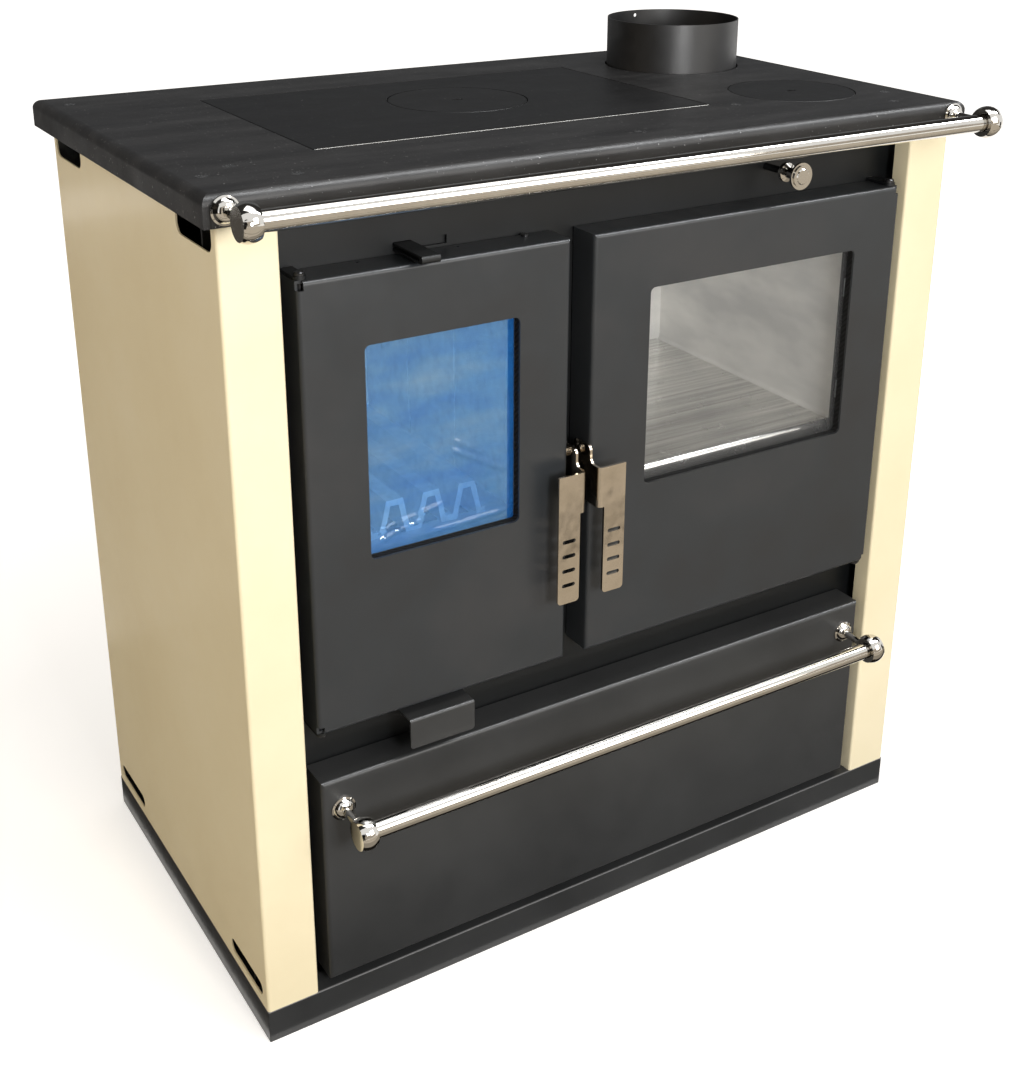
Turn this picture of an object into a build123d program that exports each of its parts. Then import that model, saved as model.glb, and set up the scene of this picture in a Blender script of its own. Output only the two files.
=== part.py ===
from build123d import *
import os

# A wood-burning cookstove: fire door on the left, glazed oven on the right, wood drawer below.
# X runs to the right, Y into the stove and Z up. The origin is the middle of the plinth, on the floor.
# All sizes are millimetres.

# ---------------------------------------------------------------- body
body_width = 814.0          # over the side panels
body_depth = 454.0          # posts' front to rear flanges
cooking_height = 850.0      # floor to cooking surface
plinth_height = 36.5
plinth_sheet = 2.0
plinth_side_flange = 65.0
plinth_end_flange = 25.0
seam = 0.8
panel_sheet = 1.5
panel_bend = 3.0
post_width = 53.5
post_return = 22.0
rear_flange = 20.0
hand_cut_width = 82.0       # cut-outs at the top of each side panel
hand_cut_offset = 176.0
hand_cut_depth = 48.0
hand_cut_radius = 10.0
foot_slot_length = 81.0
foot_slot_offset = 174.5
foot_slot_low = 46.0
foot_slot_height = 16.0
recess = 38.0               # how far the front plate lies behind the posts
plate_sheet = 3.0
side_gap = 3.0              # front plate and rear panel to the side panels' outer faces
opening_radius = 6.0        # corners of the openings in the front plate
over = 1.0                  # how far a cut runs past the face that it starts from

# ---------------------------------------------------------------- hob
hob_thickness = 5.0
hob_skirt = 27.0
hob_bend = 9.0
hob_inner_bend = 3.0
plate_chamfer = 0.6         # upper edges of the insert and the lids
hob_front_overhang = 8.5
hob_side_overhang = 12.0
hob_rear_overhang = 23.0
insert_width = 442.0
insert_depth = 279.0
insert_x = -51.0
insert_y = 19.5
insert_gap = 1.2
lid_gap = 0.8
lift_gap = 0.2
ledge_thickness = 4.0
ledge_inside = 10.0
ledge_outside = 12.0
lid_a_radius = 72.5
lid_a_x = -40.0
lid_a_y = 34.0
lid_b_radius = 68.0
lid_b_x = 301.0
lid_b_setback = 131.0       # behind the posts' front
lift_slot_length = 12.0
lift_slot_width = 4.5
lift_slot_depth = 3.2
flue_x = 300.0
flue_setback = 109.0        # before the rear flanges
flue_bore = 151.0
flue_wall = 1.5
flue_height = 54.5
flue_flange_width = 8.0
flue_hob_gap = 2.0
flue_hole = 4.5
flue_hole_drop = 6.0
screw_shank = 3.0
screw_head = 5.5
screw_csk = 2.5
screw_length = 12.0
front_screw_left = -322.0   # front row, along the hob
front_screw_middle = 26.0
front_screw_right = 352.0
front_screw_inset = 37.5
side_screw_inset = 25.0
side_screw_front = 57.0     # behind the posts' front
side_screw_rear = 25.0      # before the rear flanges
left_screw_x = -361.0       # second row, and its places behind the posts' front
left_screw_setback = 82.0
middle_screw_x = 195.0
middle_screw_setback = 95.0
right_screw_x = 384.0
right_screw_setback = 75.0

# ---------------------------------------------------------------- inner body
casing_left = -350.0
casing_right = 396.0
casing_rear_gap = 20.0
casing_rise = 15.0          # casing floor above the doors' lower edge
casing_sheet = 3.0
partition_x = -64.0
partition_drop = 26.0       # below the doors' upper edge
bay_width = 672.0
bay_sheet = 2.0
bay_flange = 20.0
brick_thickness = 30.0
brick_joint = 0.5
brick_chamfer = 1.5
bricks_a_side = 3
bricks_behind = 2
brick_setback = 77.0
floor_plate_drop = 20.0     # below the fire window
floor_plate_thickness = 6.0
grate_pitch = 40.0
grate_crests = 4
grate_height = 37.0
grate_section = 6.0
grate_crest_width = 17.5
grate_valley_width = 8.0
grate_rib = 4.5
grate_setback = 75.0
grate_shift = 5.5           # grate's middle to the right of the fire's
grate_rear_gap = 54.0
grate_edge = 0.5
grate_seat = 8.0
grate_slot_share = 0.76     # slot length to its pitch
grate_slot_count = 4
grate_slot_inset = 1.0      # slots inside the flat of each valley
pan_width = 182.0
pan_height_share = 0.625    # of the room under the fire's floor
pan_setback = 57.0
pan_rear_gap = 54.0
pan_sheet = 1.5
pan_lip = 12.0
pan_corner = 6.0
pan_pull_width = 90.0
pan_pull_bend = 3.0

# ---------------------------------------------------------------- oven and smoke way
oven_left = -11.0
oven_right = 308.0
oven_floor_drop = 1.0       # below the oven window
oven_top_drop = 34.0        # below the doors' upper edge
back_flue = 72.0            # smoke way behind the oven
oven_sheet = 2.0
oven_frame = 10.0
oven_frame_depth = 10.0
oven_plate_sheet = 2.0
oven_plate_drop = 18.0
oven_plate_bend = 7.0
oven_nosing = 5.0
oven_corner = 6.0
oven_plate_inset = 6.0      # floor plate inside the oven's side walls
oven_plate_rear_gap = 2.0
flue_box_left = 203.0
flue_box_reach = 96.0       # before the flue's middle
bypass_width = 70.0
bypass_height = 72.0
bypass_offset = 33.0        # before the flue's middle
bypass_drop = 58.0          # below the cooking surface
bypass_corner = 6.0
hatch_x = 148.0
hatch_rise = 16.0           # above the casing floor
hatch_width = 120.0
hatch_share = 0.56          # of the room under the oven
hatch_lap = 12.0
hatch_sheet = 2.0
hatch_corner = 8.0
hatch_screw = 2.0
hatch_screw_head = 4.0
hatch_screw_grip = 7.0

# ---------------------------------------------------------------- doors
door_drop = 84.0            # cooking surface to the doors' upper edge
door_height = 438.0
door_sheet = 2.5
door_fold = 4.0
door_gap = 2.0              # door's back edge to the front plate
fire_door_left = -340.0
fire_door_right = -69.0
oven_door_left = -43.0
oven_door_right = 344.0
fire_window_left = -280.5
fire_window_width = 157.0
fire_window_drop = 65.5     # below the doors' upper edge
fire_window_height = 205.5
oven_window_left = 23.5
oven_window_width = 263.0
oven_window_drop = 61.0
oven_window_height = 206.0
opening_side_lap = 26.0     # door over the edges of the fire opening
opening_top_lap = 21.0
window_radius = 5.5
reveal = 10.0               # door face to glass
glass_thickness = 4.0
glass_lap = 12.0
glass_corner = 4.0
gasket_width = 9.0
film_thickness = 0.3
film_margin = 1.0
clip_sheet = 1.5
clip_width = 20.0
clip_gap = 2.0              # pane's edge to the clip's riser
clip_foot = 16.0            # pane's edge to the end of the foot
clip_lip = 8.0              # lip over the pane
clip_share = 0.22           # clips' places, from each end of the window
liner_setback = 24.0
liner_sheet = 2.0
liner_rim = 8.0
liner_opening_margin = 8.0
liner_gap = 0.2             # inside the door's returns
rope_width = 10.0
rope_gap = 0.5
rope_corner = 4.0
rope_inner_corner = 1.0
rope_chamfer = 3.0
hinge_inset = 6.5
hinge_setback = 10.0
hinge_pin = 3.5
hinge_head = 4.8
hinge_head_height = 3.5
hinge_chamfer = 1.2
hinge_grip = 14.0
door_screw_inset = 31.0     # door's edge to its screws
door_screw_setback = 5.0    # before the returns' back edge
door_screw_head = 3.8
door_screw_shank = 2.0
door_screw_height = 2.0
tab_hole = 3.0
tab_hole_first = 70.0       # fire door's left edge to the two three-cornered holes
tab_hole_pitch = 99.0
lug_thickness = 3.0
lug_radius = 6.0
run_gap = 0.3
fit_gap = 0.05
corner_notch_width = 6.0
corner_notch_height = 8.0

# ---------------------------------------------------------------- handles and latch
handle_stand = 25.0         # handle face in front of the door face
handle_sheet = 2.5
handle_bend = 5.0
handle_drop = 224.0         # doors' upper edge to the handle's top
handle_length = 136.0
handle_head = 42.0
handle_reach = 25.5         # handle's outer edge inside the door's edge
handle_tongue = 24.5
handle_web_offset = 6.0     # web's far face outside the door's edge
handle_radius = 4.0
handle_slot_length = 15.0
handle_slot_width = 4.0
handle_slot_pitch = 15.7
handle_slot_drop = 69.0
handle_slot_count = 4
ear_rise = 17.5             # above and below the handle's top
ear_fall = 27.0
ear_front = 17.0            # ear's edges before and behind the pivot
ear_back = 12.0
ear_radius = 6.0
pivot_setback = 8.0
pivot_rise = 10.0
pivot_pin = 3.0
pivot_bush = 5.0
pivot_tail = 4.2
pivot_rivet = 2.0           # riveted end inside the return
pivot_head = 2.5
pivot_chamfer = 1.0
nose_fall = 0.5
nose_height = 15.0
nose_plate_gap = 4.0        # nose's end to the front plate
nose_corner = 3.0
catch_pin = 3.0
catch_gap = 0.4
catch_setback = 9.0         # pin before the front plate
catch_cheek = 3.0
catch_cheek_height = 24.0
catch_cheek_reach = 6.0     # cheek round the pin
catch_corner = 5.0
catch_door_gap = 3.0

# ---------------------------------------------------------------- drawer
drawer_half_width = 340.0
drawer_rise = 8.5           # above the plinth
drawer_door_gap = 53.0      # below the doors
drawer_lap = 7.0            # drawer front over the edge of its opening
box_half_width = 318.0
box_floor_rise = 5.0        # above the drawer's lower edge
box_fall = 35.0             # below the drawer's upper edge
box_rear_gap = 37.0
box_sheet = 1.5
box_rim = 6.0
runner_rise = 8.0           # above the box's middle
runner_height = 28.0
runner_sheet = 1.5
runner_gap = 2.0            # runners to the box and to the front plate

# ---------------------------------------------------------------- rails
rail_tube = 18.0
rail_wall = 1.5
rail_stand = 46.5
rail_ball = 16.3
rail_flat = 8.3             # ball's middle to its two flat ends
rail_groove = 1.5           # between ball and tube
rail_plug = 8.0             # ball's neck inside the tube
rosette_radius = 12.4
rosette_depth = 8.0
rosette_rim = 0.25          # shares of the depth: disc, foot and shoulder of the dome
rosette_foot = 0.36
rosette_shoulder = 0.78
rosette_foot_width = 0.86   # shares of the radius: foot, shoulder and top of the dome
rosette_shoulder_width = 0.68
rosette_top_width = 0.36
stem_radius = 4.0
stem_seat = 5.0             # stem's end inside the ball
top_rail_x = 401.0
top_rail_drop = 13.0
drawer_rail_x = 319.0
drawer_rail_drop = 33.0

# ---------------------------------------------------------------- controls and trim
damper_x = 191.0
damper_drop = 53.0
damper_rod = 3.5
damper_stand = 29.0         # knob's back face in front of the front plate
damper_sheet = 2.3
damper_lap = 8.0            # plate over the edges of its opening
damper_corner = 6.0
damper_rib = 10.0
damper_grip = 8.0           # rod inside the knob
knob_radius = 13.5
knob_length = 27.0
knob_collar = 9.5
knob_collar_length = 4.0
knob_neck = 5.5
knob_flare = 2.0            # from the collar down to the neck
knob_rim = 2.5              # height of each step of the face
knob_step = 1.0
knob_button = 7.0
slider_x = -222.5
slider_width = 18.0
slider_height = 7.0
slider_rise = 10.0          # above the doors' upper edge
slider_reach = 54.0
slider_sheet = 2.0
slider_travel = 35.0
slider_gap = 0.5
slider_nose = 2.9           # rounding of the tab's folded front end
slider_fold = 3.0           # solid fold, in sheets
shutter_width = 150.0
shutter_height = 24.0
shutter_sheet = 1.5
shutter_corner = 3.0
shutter_land = 2.0          # between the tab and the shutter's window
duct_width = 220.0
duct_depth = 26.0
duct_gap = 5.0              # above the fire opening
duct_rise = 19.0            # above the slider
duct_bend = 5.0
badge_x = -215.5
badge_width = 70.0
badge_drop = 7.5            # below the doors' lower edge
badge_height = 31.5
badge_bend = 3.0
badge_corner = 3.0
badge_stand = 11.0
badge_sheet = 2.0
rear_screw_rows = 3
rear_screw_rise = 50.0      # above the plinth
rear_screw_drop = 20.0      # below the hand cut-outs
rear_screw_shank = 2.5
rear_screw_length = 7.0
hex_head = 5.0
hex_height = 3.5
vent_count = 9
vent_pitch = 60.0
vent_width = 6.0
vent_length = 60.0

# ---------------------------------------------------------------- places worked out from the sizes
half = body_width / 2
front_y = -body_depth / 2
back_y = body_depth / 2
plate_y = front_y + recess              # front plate's front face
plate_back = plate_y + plate_sheet
hob_under = cooking_height - hob_thickness
hob_half = half + hob_side_overhang
hob_front = front_y - hob_front_overhang
hob_back = back_y + hob_rear_overhang
hand_cut_sill = hob_under - hand_cut_depth
flue_y = back_y - flue_setback
flue_radius = flue_bore / 2 + flue_wall
lid_b_y = front_y + lid_b_setback
door_top = cooking_height - door_drop
door_bottom = door_top - door_height
door_back = plate_y - door_gap
glass_y = front_y + reveal
liner_y = front_y + liner_setback
fire_window_top = door_top - fire_window_drop
oven_window_top = door_top - oven_window_drop
fire_window = (fire_window_left, fire_window_left + fire_window_width,
               fire_window_top - fire_window_height, fire_window_top)
oven_window = (oven_window_left, oven_window_left + oven_window_width,
               oven_window_top - oven_window_height, oven_window_top)
casing_back = back_y - casing_rear_gap
casing_floor = door_bottom + casing_rise
inner_left = casing_left + casing_sheet
inner_right = casing_right - casing_sheet
inner_back = casing_back - casing_sheet
inner_floor = casing_floor + casing_sheet
partition_top = door_top - partition_drop
fire_opening = (fire_door_left + opening_side_lap, fire_door_right - opening_side_lap,
                inner_floor, door_top - opening_top_lap)
floor_plate_top = fire_window[2] - floor_plate_drop
brick_front = front_y + brick_setback
grate_middle = (inner_left + partition_x) / 2 + grate_shift
grate_front = front_y + grate_setback
grate_back = inner_back - brick_thickness - grate_rear_gap
pan_front = front_y + pan_setback
pan_back = inner_back - pan_rear_gap
pan_height = pan_height_share * (floor_plate_top - floor_plate_thickness - inner_floor)
oven_bottom = oven_window[2] - oven_floor_drop
oven_top = door_top - oven_top_drop
oven_back = inner_back - back_flue - oven_sheet
flue_box_front = flue_y - flue_box_reach
bypass_y = flue_y - bypass_offset
bypass_z = cooking_height - bypass_drop
hatch_height = hatch_share * (oven_bottom - inner_floor)
hatch_z = inner_floor + hatch_rise + hatch_height / 2
gap_middle = (fire_door_right + oven_door_left) / 2
hinge_y = front_y + hinge_setback
handle_top = door_top - handle_drop
handle_bottom = handle_top - handle_length
pivot_y = front_y + pivot_setback
pivot_z = handle_top + pivot_rise
nose_top = handle_top - nose_fall
bay_half = bay_width / 2
drawer_top = door_bottom - drawer_door_gap
drawer_bottom = plinth_height + drawer_rise
box_top = drawer_top - box_fall
box_bottom = drawer_bottom + box_floor_rise
box_back = casing_back - box_rear_gap
runner_z = (box_bottom + box_top) / 2 + runner_rise
damper_z = cooking_height - damper_drop
slider_top = door_top + slider_rise
duct_bottom = fire_opening[3] + duct_gap
duct_top = slider_top + duct_rise
badge_top = door_bottom - badge_drop
parts = {}


# ---------------------------------------------------------------- helpers
def block(x0, x1, y0, y1, z0, z1):
    """A plain block between two corners."""
    middle = Pos((x0 + x1) / 2, (y0 + y1) / 2, (z0 + z1) / 2)
    return middle * Box(x1 - x0, y1 - y0, z1 - z0)


def rod(start, direction, length, radius):
    """A round bar from a start point along X, Y or Z."""
    plane = Plane(origin=start, z_dir=direction)
    return extrude(plane * Circle(radius), amount=length)


def along_y(face, y0, y1):
    """A face drawn in X and Z, given depth from y0 to y1."""
    plane = Plane(origin=(0, y1, 0), x_dir=(1, 0, 0), z_dir=(0, -1, 0))
    return extrude(plane * face, amount=y1 - y0)


def along_x(face, x0, x1):
    """A face drawn in Y and Z, given width from x0 to x1."""
    plane = Plane(origin=(x0, 0, 0), x_dir=(0, 1, 0), z_dir=(1, 0, 0))
    return extrude(plane * face, amount=x1 - x0)


def along_z(face, z0, z1):
    """A face drawn in X and Y, given height from z0 to z1."""
    return extrude(Pos(0, 0, z0) * face, amount=z1 - z0)


def rounded(u0, u1, v0, v1, radius):
    """A rectangle with round corners between two corners."""
    return Pos((u0 + u1) / 2, (v0 + v1) / 2) * RectangleRounded(u1 - u0, v1 - v0, radius)


def strip(points, bend, sheet):
    """Cross-section of a folded strip whose outer face follows the points."""
    line = FilletPolyline(*points, radius=bend) if len(points) > 2 else Polyline(*points)
    return make_face(offset(line, amount=sheet, side=Side.LEFT).edges())


def edges_at(solid, axis, value):
    """The edges that lie in one plane across an axis."""
    return solid.edges().filter_by_position(axis, value - 0.01, value + 0.01)


def pan(x0, x1, z0, z1, y0, y1, sheet, fold):
    """Folded tray standing on edge: a face at y0, four returns back to y1, rounded folds."""
    outer = block(x0, x1, y0, y1, z0, z1)
    outer = fillet(edges_at(outer, Axis.Y, y0), fold)
    inner = block(x0 + sheet, x1 - sheet, y0 + sheet, y1 + 1, z0 + sheet, z1 - sheet)
    inner = fillet(edges_at(inner, Axis.Y, y0 + sheet), fold - sheet)
    return outer - inner


def ring_frame(window, margin, width, y0, y1, radius):
    """A flat frame round a window: its opening is the window grown by margin."""
    x0, x1, z0, z1 = window
    grow = margin + width
    outer = rounded(x0 - grow, x1 + grow, z0 - grow, z1 + grow, radius + grow)
    inner = rounded(x0 - margin, x1 + margin, z0 - margin, z1 + margin, radius + margin)
    return along_y(outer - inner, y0, y1)


def group(solids):
    """Separate solids kept together in one node."""
    return Compound(children=list(solids))


def mirrored(shape, x=0.0):
    """The same shape on the other side of a plane across X."""
    return mirror(shape, about=Plane(origin=(x, 0, 0), z_dir=(1, 0, 0)))


# ---------------------------------------------------------------- sheet-metal body
def make_plinth():
    """Folded tray that the stove stands on, with an inward flange under the panels."""
    inner = plinth_sheet
    tray = block(-half, half, front_y, back_y, 0, plinth_height)
    tray -= block(-half + inner, half - inner, front_y + inner, back_y - inner,
                  inner, plinth_height - inner)
    tray -= block(-half + plinth_side_flange, half - plinth_side_flange, front_y + plinth_end_flange,
                  back_y - plinth_end_flange, inner, plinth_height + 1)
    for x in (-half, half):
        for y in (front_y, back_y):
            tray -= Pos(x, y, plinth_height / 2) * Box(seam, seam, plinth_height)
    return tray


def make_side_panel():
    """Left panel, front post and rear flange in one folded sheet, with its four cut-outs."""
    x0, x1 = -half, -half + post_width
    z0, z1 = plinth_height, hob_under
    outer = block(x0, x1, front_y, back_y, z0, z1)
    outer = fillet(outer.edges().filter_by(Axis.Z), panel_bend)
    inner = block(x0 + panel_sheet, x1 - panel_sheet, front_y + panel_sheet, back_y - panel_sheet, z0, z1)
    inner = fillet(inner.edges().filter_by(Axis.Z), panel_bend - panel_sheet)
    panel = outer - inner
    panel -= block(x0 + rear_flange, x1 + 1, front_y + post_return, back_y + 1, z0, z1)
    for side in (-1, 1):
        y = side * hand_cut_offset
        top_cut = rounded(y - hand_cut_width / 2, y + hand_cut_width / 2, hand_cut_sill,
                          z1 + 2 * hand_cut_radius, hand_cut_radius)
        slot = Pos(side * foot_slot_offset, foot_slot_low + foot_slot_height / 2)
        slot *= SlotOverall(foot_slot_length, foot_slot_height)
        panel -= along_x(top_cut, x0 - 1, x0 + panel_bend + 1)
        panel -= along_x(slot, x0 - 1, x0 + panel_bend + 1)
    for z in rear_screw_levels():
        panel -= rod((x0 + rear_flange / 2, back_y + 1, z), (0, -1, 0), panel_sheet + 2 * over,
                     rear_screw_shank + fit_gap)
    return panel


def rear_screw_levels():
    """Heights of the screws that hold the rear panel."""
    low, high = plinth_height + rear_screw_rise, hand_cut_sill - rear_screw_drop
    return [low + (high - low) * i / (rear_screw_rows - 1) for i in range(rear_screw_rows)]


def make_rear_panel():
    """Plain rear shield with two rows of vent slots, screwed to the panels' flanges."""
    y1 = back_y - panel_sheet
    edge = half - side_gap
    panel = block(-edge, edge, y1 - panel_sheet, y1, plinth_height, hob_under)
    slot = Rectangle(vent_width, vent_length)
    for z in (plinth_height + 2 * vent_length, hob_under - 1.5 * vent_length):
        for i in range(vent_count):
            x = (i - (vent_count - 1) / 2) * vent_pitch
            panel -= along_y(Pos(x, z) * slot, y1 - panel_sheet - 1, y1 + 1)
    for z in rear_screw_levels():
        for x in (-half + rear_flange / 2, half - rear_flange / 2):
            panel -= rod((x, y1 + 1, z), (0, -1, 0), panel_sheet + 2 * over,
                     rear_screw_shank + fit_gap)
    return panel


def make_rear_screws():
    """Hexagon-head screws through the rear flanges into the rear panel."""
    screws = []
    for z in rear_screw_levels():
        for x in (-half + rear_flange / 2, half - rear_flange / 2):
            head = along_y(Pos(x, z) * RegularPolygon(hex_head, 6), back_y, back_y + hex_height)
            screws.append(head + rod((x, back_y, z), (0, -1, 0), rear_screw_length, rear_screw_shank))
    return group(screws)


def make_front_plate():
    """Recessed plate behind the doors, cut for the fire, the oven, the soot hatch and the drawer."""
    edge = half - side_gap
    plate = block(-edge, edge, plate_y, plate_back, plinth_height, hob_under)
    y0, y1 = plate_y - 1, plate_back + 1
    opening_top = drawer_top - drawer_lap
    plate -= block(-bay_half + bay_sheet, bay_half - bay_sheet, y0, y1, plinth_height - 1, opening_top)
    plate -= along_y(rounded(*fire_opening, opening_radius), y0, y1)
    grow = oven_frame
    plate -= block(oven_left - grow, oven_right + grow, y0, y1, oven_bottom - grow, oven_top + grow)
    hatch = rounded(hatch_x - hatch_width / 2 + hatch_lap, hatch_x + hatch_width / 2 - hatch_lap,
                    hatch_z - hatch_height / 2 + hatch_lap, hatch_z + hatch_height / 2 - hatch_lap,
                    opening_radius)
    plate -= along_y(hatch, y0, y1)
    slot_x0 = slider_x - slider_width / 2 - slider_gap
    slot_x1 = slider_x + slider_width / 2 + slider_travel + slider_gap
    plate -= block(slot_x0, slot_x1, y0, y1, slider_top - slider_height - slider_gap,
                   slider_top + slider_gap)
    plate -= rod((damper_x, y0, damper_z), (0, 1, 0), plate_sheet + 2, damper_rod + run_gap)
    for x in (-1, 1):
        plate -= rod((hatch_x + x * (hatch_width - hatch_lap) / 2, y0, hatch_z), (0, 1, 0),
                     plate_sheet + 2, hatch_screw + fit_gap)
    return plate


def make_drawer_bay():
    """Sheet housing round the drawer that carries the casing."""
    bay = block(-bay_half, bay_half, plate_back, casing_back, plinth_height, casing_floor)
    bay -= block(-bay_half + bay_sheet, bay_half - bay_sheet, plate_back - 1, casing_back - bay_sheet,
                 plinth_height - 1, casing_floor - bay_sheet)
    bay -= block(-bay_half + bay_flange, bay_half - bay_flange, plate_back - 1, casing_back - bay_flange,
                 casing_floor - bay_sheet - 1, casing_floor + 1)
    return bay


def make_casing():
    """Welded smoke-tight casing, open to the front plate and the hob, with the fire's side wall."""
    casing = block(casing_left, casing_right, plate_back, casing_back, casing_floor, hob_under)
    casing -= block(inner_left, inner_right, plate_back - 1, inner_back, inner_floor, hob_under + 1)
    casing += block(partition_x, partition_x + casing_sheet, plate_back, inner_back, inner_floor,
                    partition_top)
    return casing


# ---------------------------------------------------------------- hob
def screw_places():
    """Places of the countersunk screws in the hob."""
    front_row = [(x, hob_front + front_screw_inset)
                 for x in (front_screw_left, front_screw_middle, front_screw_right)]
    edge = hob_half - side_screw_inset
    corners = [(-edge, front_y + side_screw_front), (-edge, back_y - side_screw_rear),
               (right_screw_x, inner_back - 2 * screw_shank)]
    second_row = [(left_screw_x, front_y + left_screw_setback),
                  (middle_screw_x, front_y + middle_screw_setback),
                  (right_screw_x, front_y + right_screw_setback)]
    return front_row + corners + second_row


def countersunk(x, y, gap=0.0, length=screw_length):
    """A countersunk screw, or with a gap the hole for it."""
    head = Pos(x, y, cooking_height - screw_csk / 2) * Cone(screw_shank + gap, screw_head + gap, screw_csk)
    return head + rod((x, y, cooking_height - length), (0, 0, 1), length - screw_csk, screw_shank + gap)


def round_seat(x, y, radius):
    """Welded ring under a hole that a lid rests on."""
    z0 = hob_under - ledge_thickness
    ring = Circle(radius + ledge_outside) - Circle(radius - ledge_inside)
    return along_z(Pos(x, y) * ring, z0, hob_under)


def make_hob():
    """Folded hob plate with its openings and the ledges welded under them."""
    x1, y1 = hob_half, hob_back
    top, low, t = cooking_height, cooking_height - hob_skirt, hob_thickness
    outer = block(-x1, x1, hob_front, y1, low, top)
    outer = fillet(edges_at(outer, Axis.Z, top), hob_bend)
    inner = block(-x1 + t, x1 - t, hob_front + t, y1 - t, low - 1, hob_under)
    inner = fillet(edges_at(inner, Axis.Z, hob_under), hob_inner_bend)
    hob = outer - inner
    insert_hole = Pos(insert_x, insert_y) * Rectangle(insert_width + 2 * insert_gap,
                                                      insert_depth + 2 * insert_gap)
    hob -= along_z(insert_hole, hob_under - 1, top + 1)
    hob -= rod((lid_b_x, lid_b_y, hob_under - 1), (0, 0, 1), t + 2, lid_b_radius + lid_gap)
    hob -= rod((flue_x, flue_y, hob_under - 1), (0, 0, 1), t + 2, flue_radius + flue_hob_gap)
    for x, y in screw_places():
        hob -= countersunk(x, y, gap=fit_gap)
    ledge = Rectangle(insert_width + 2 * ledge_outside, insert_depth + 2 * ledge_outside)
    ledge -= Rectangle(insert_width - 2 * ledge_inside, insert_depth - 2 * ledge_inside)
    hob += along_z(Pos(insert_x, insert_y) * ledge, hob_under - ledge_thickness, hob_under)
    hob += round_seat(lid_b_x, lid_b_y, lid_b_radius)
    return hob


def make_insert():
    """Loose plate over the fire with a round hole and the ring welded under it."""
    z0 = hob_under + lift_gap
    plate = along_z(Pos(insert_x, insert_y) * Rectangle(insert_width, insert_depth), z0, cooking_height)
    plate = chamfer(edges_at(plate, Axis.Z, cooking_height), plate_chamfer)
    plate -= rod((lid_a_x, lid_a_y, z0 - 1), (0, 0, 1), hob_thickness + 2, lid_a_radius + lid_gap)
    return plate + Pos(0, 0, lift_gap) * round_seat(lid_a_x, lid_a_y, lid_a_radius)


def make_lid(x, y, radius, lifts):
    """Round lid with a blind slot for the lifting tool."""
    z0 = hob_under + lifts * lift_gap
    lid = rod((x, y, z0), (0, 0, 1), cooking_height - z0, radius)
    lid = chamfer(edges_at(lid, Axis.Z, cooking_height), plate_chamfer)
    slot = Pos(x, y) * SlotOverall(lift_slot_length, lift_slot_width)
    return lid - along_z(slot, cooking_height - lift_slot_depth, cooking_height + 1)


def make_flue_collar():
    """Rolled collar on a flange welded under the hob."""
    z0 = hob_under - ledge_thickness
    top = cooking_height + flue_height
    tube = Circle(flue_radius) - Circle(flue_bore / 2)
    flange = Circle(flue_radius + flue_flange_width) - Circle(flue_bore / 2)
    collar = along_z(tube, z0, top) + along_z(flange, z0, hob_under)
    hole = rod((0, 0, top - flue_hole_drop), (0, 1, 0), flue_radius + 2, flue_hole / 2)
    return Pos(flue_x, flue_y, 0) * (collar - hole)


# ---------------------------------------------------------------- fire
def make_bricks():
    """Firebricks standing on the floor plate: three each side, two at the back."""
    z0, z1 = floor_plate_top, partition_top
    y1 = inner_back - brick_thickness
    pitch = (y1 - brick_front) / bricks_a_side
    bricks = []
    for i in range(bricks_a_side):
        y = brick_front + i * pitch
        bricks.append(block(inner_left, inner_left + brick_thickness, y, y + pitch - brick_joint, z0, z1))
        bricks.append(block(partition_x - brick_thickness, partition_x, y, y + pitch - brick_joint, z0, z1))
    width = (partition_x - inner_left) / bricks_behind
    for i in range(bricks_behind):
        x = inner_left + i * width
        bricks.append(block(x, x + width - brick_joint, y1, inner_back, z0, z1))
    return group([chamfer(b.edges(), brick_chamfer) for b in bricks])


def make_floor_plate():
    """Cast floor of the fire, holed for the grate."""
    z0 = floor_plate_top - floor_plate_thickness
    plate = block(inner_left, partition_x, plate_back, inner_back, z0, floor_plate_top)
    x0, x1 = grate_ends()
    return plate - block(x0 + grate_seat, x1 - grate_seat, grate_front + grate_seat,
                         grate_back - grate_seat, z0 - 1, floor_plate_top + 1)


def grate_ends():
    """Left and right ends of the grate."""
    reach = grate_crests * grate_pitch / 2 + grate_edge
    return grate_middle - reach, grate_middle + reach


def make_grate():
    """Cast grate: trapezoid crests run from front to back, with slots along the valleys."""
    z0 = floor_plate_top
    floor, crest, under = z0 + grate_section, z0 + grate_height, z0 + grate_height - grate_section
    foot = (grate_pitch - grate_valley_width) / 2
    top = grate_crest_width / 2
    upper, lower = [], []
    for i in range(grate_crests):
        c = grate_middle + (i - (grate_crests - 1) / 2) * grate_pitch
        upper += [(c - foot, floor), (c - top, crest), (c + top, crest), (c + foot, floor)]
        inside = [(c - foot + grate_rib, z0), (c - top + grate_rib, under)]
        lower += inside + [(2 * c - x, z) for x, z in reversed(inside)]
    x0, x1 = grate_ends()
    outline = Polyline((x0, z0), (x0, floor), *upper, (x1, floor), (x1, z0), *reversed(lower), close=True)
    grate = along_y(make_face(outline), grate_front, grate_back)
    pitch = (grate_back - grate_front) / grate_slot_count
    slot = Rectangle(grate_valley_width - 2 * grate_slot_inset, grate_slot_share * pitch)
    for i in range(grate_crests - 1):
        x = grate_middle + (i - (grate_crests - 2) / 2) * grate_pitch
        for j in range(grate_slot_count):
            y = grate_front + (j + 0.5) * pitch
            grate -= along_z(Pos(x, y) * slot, z0 - 1, floor + 1)
    return grate


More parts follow.
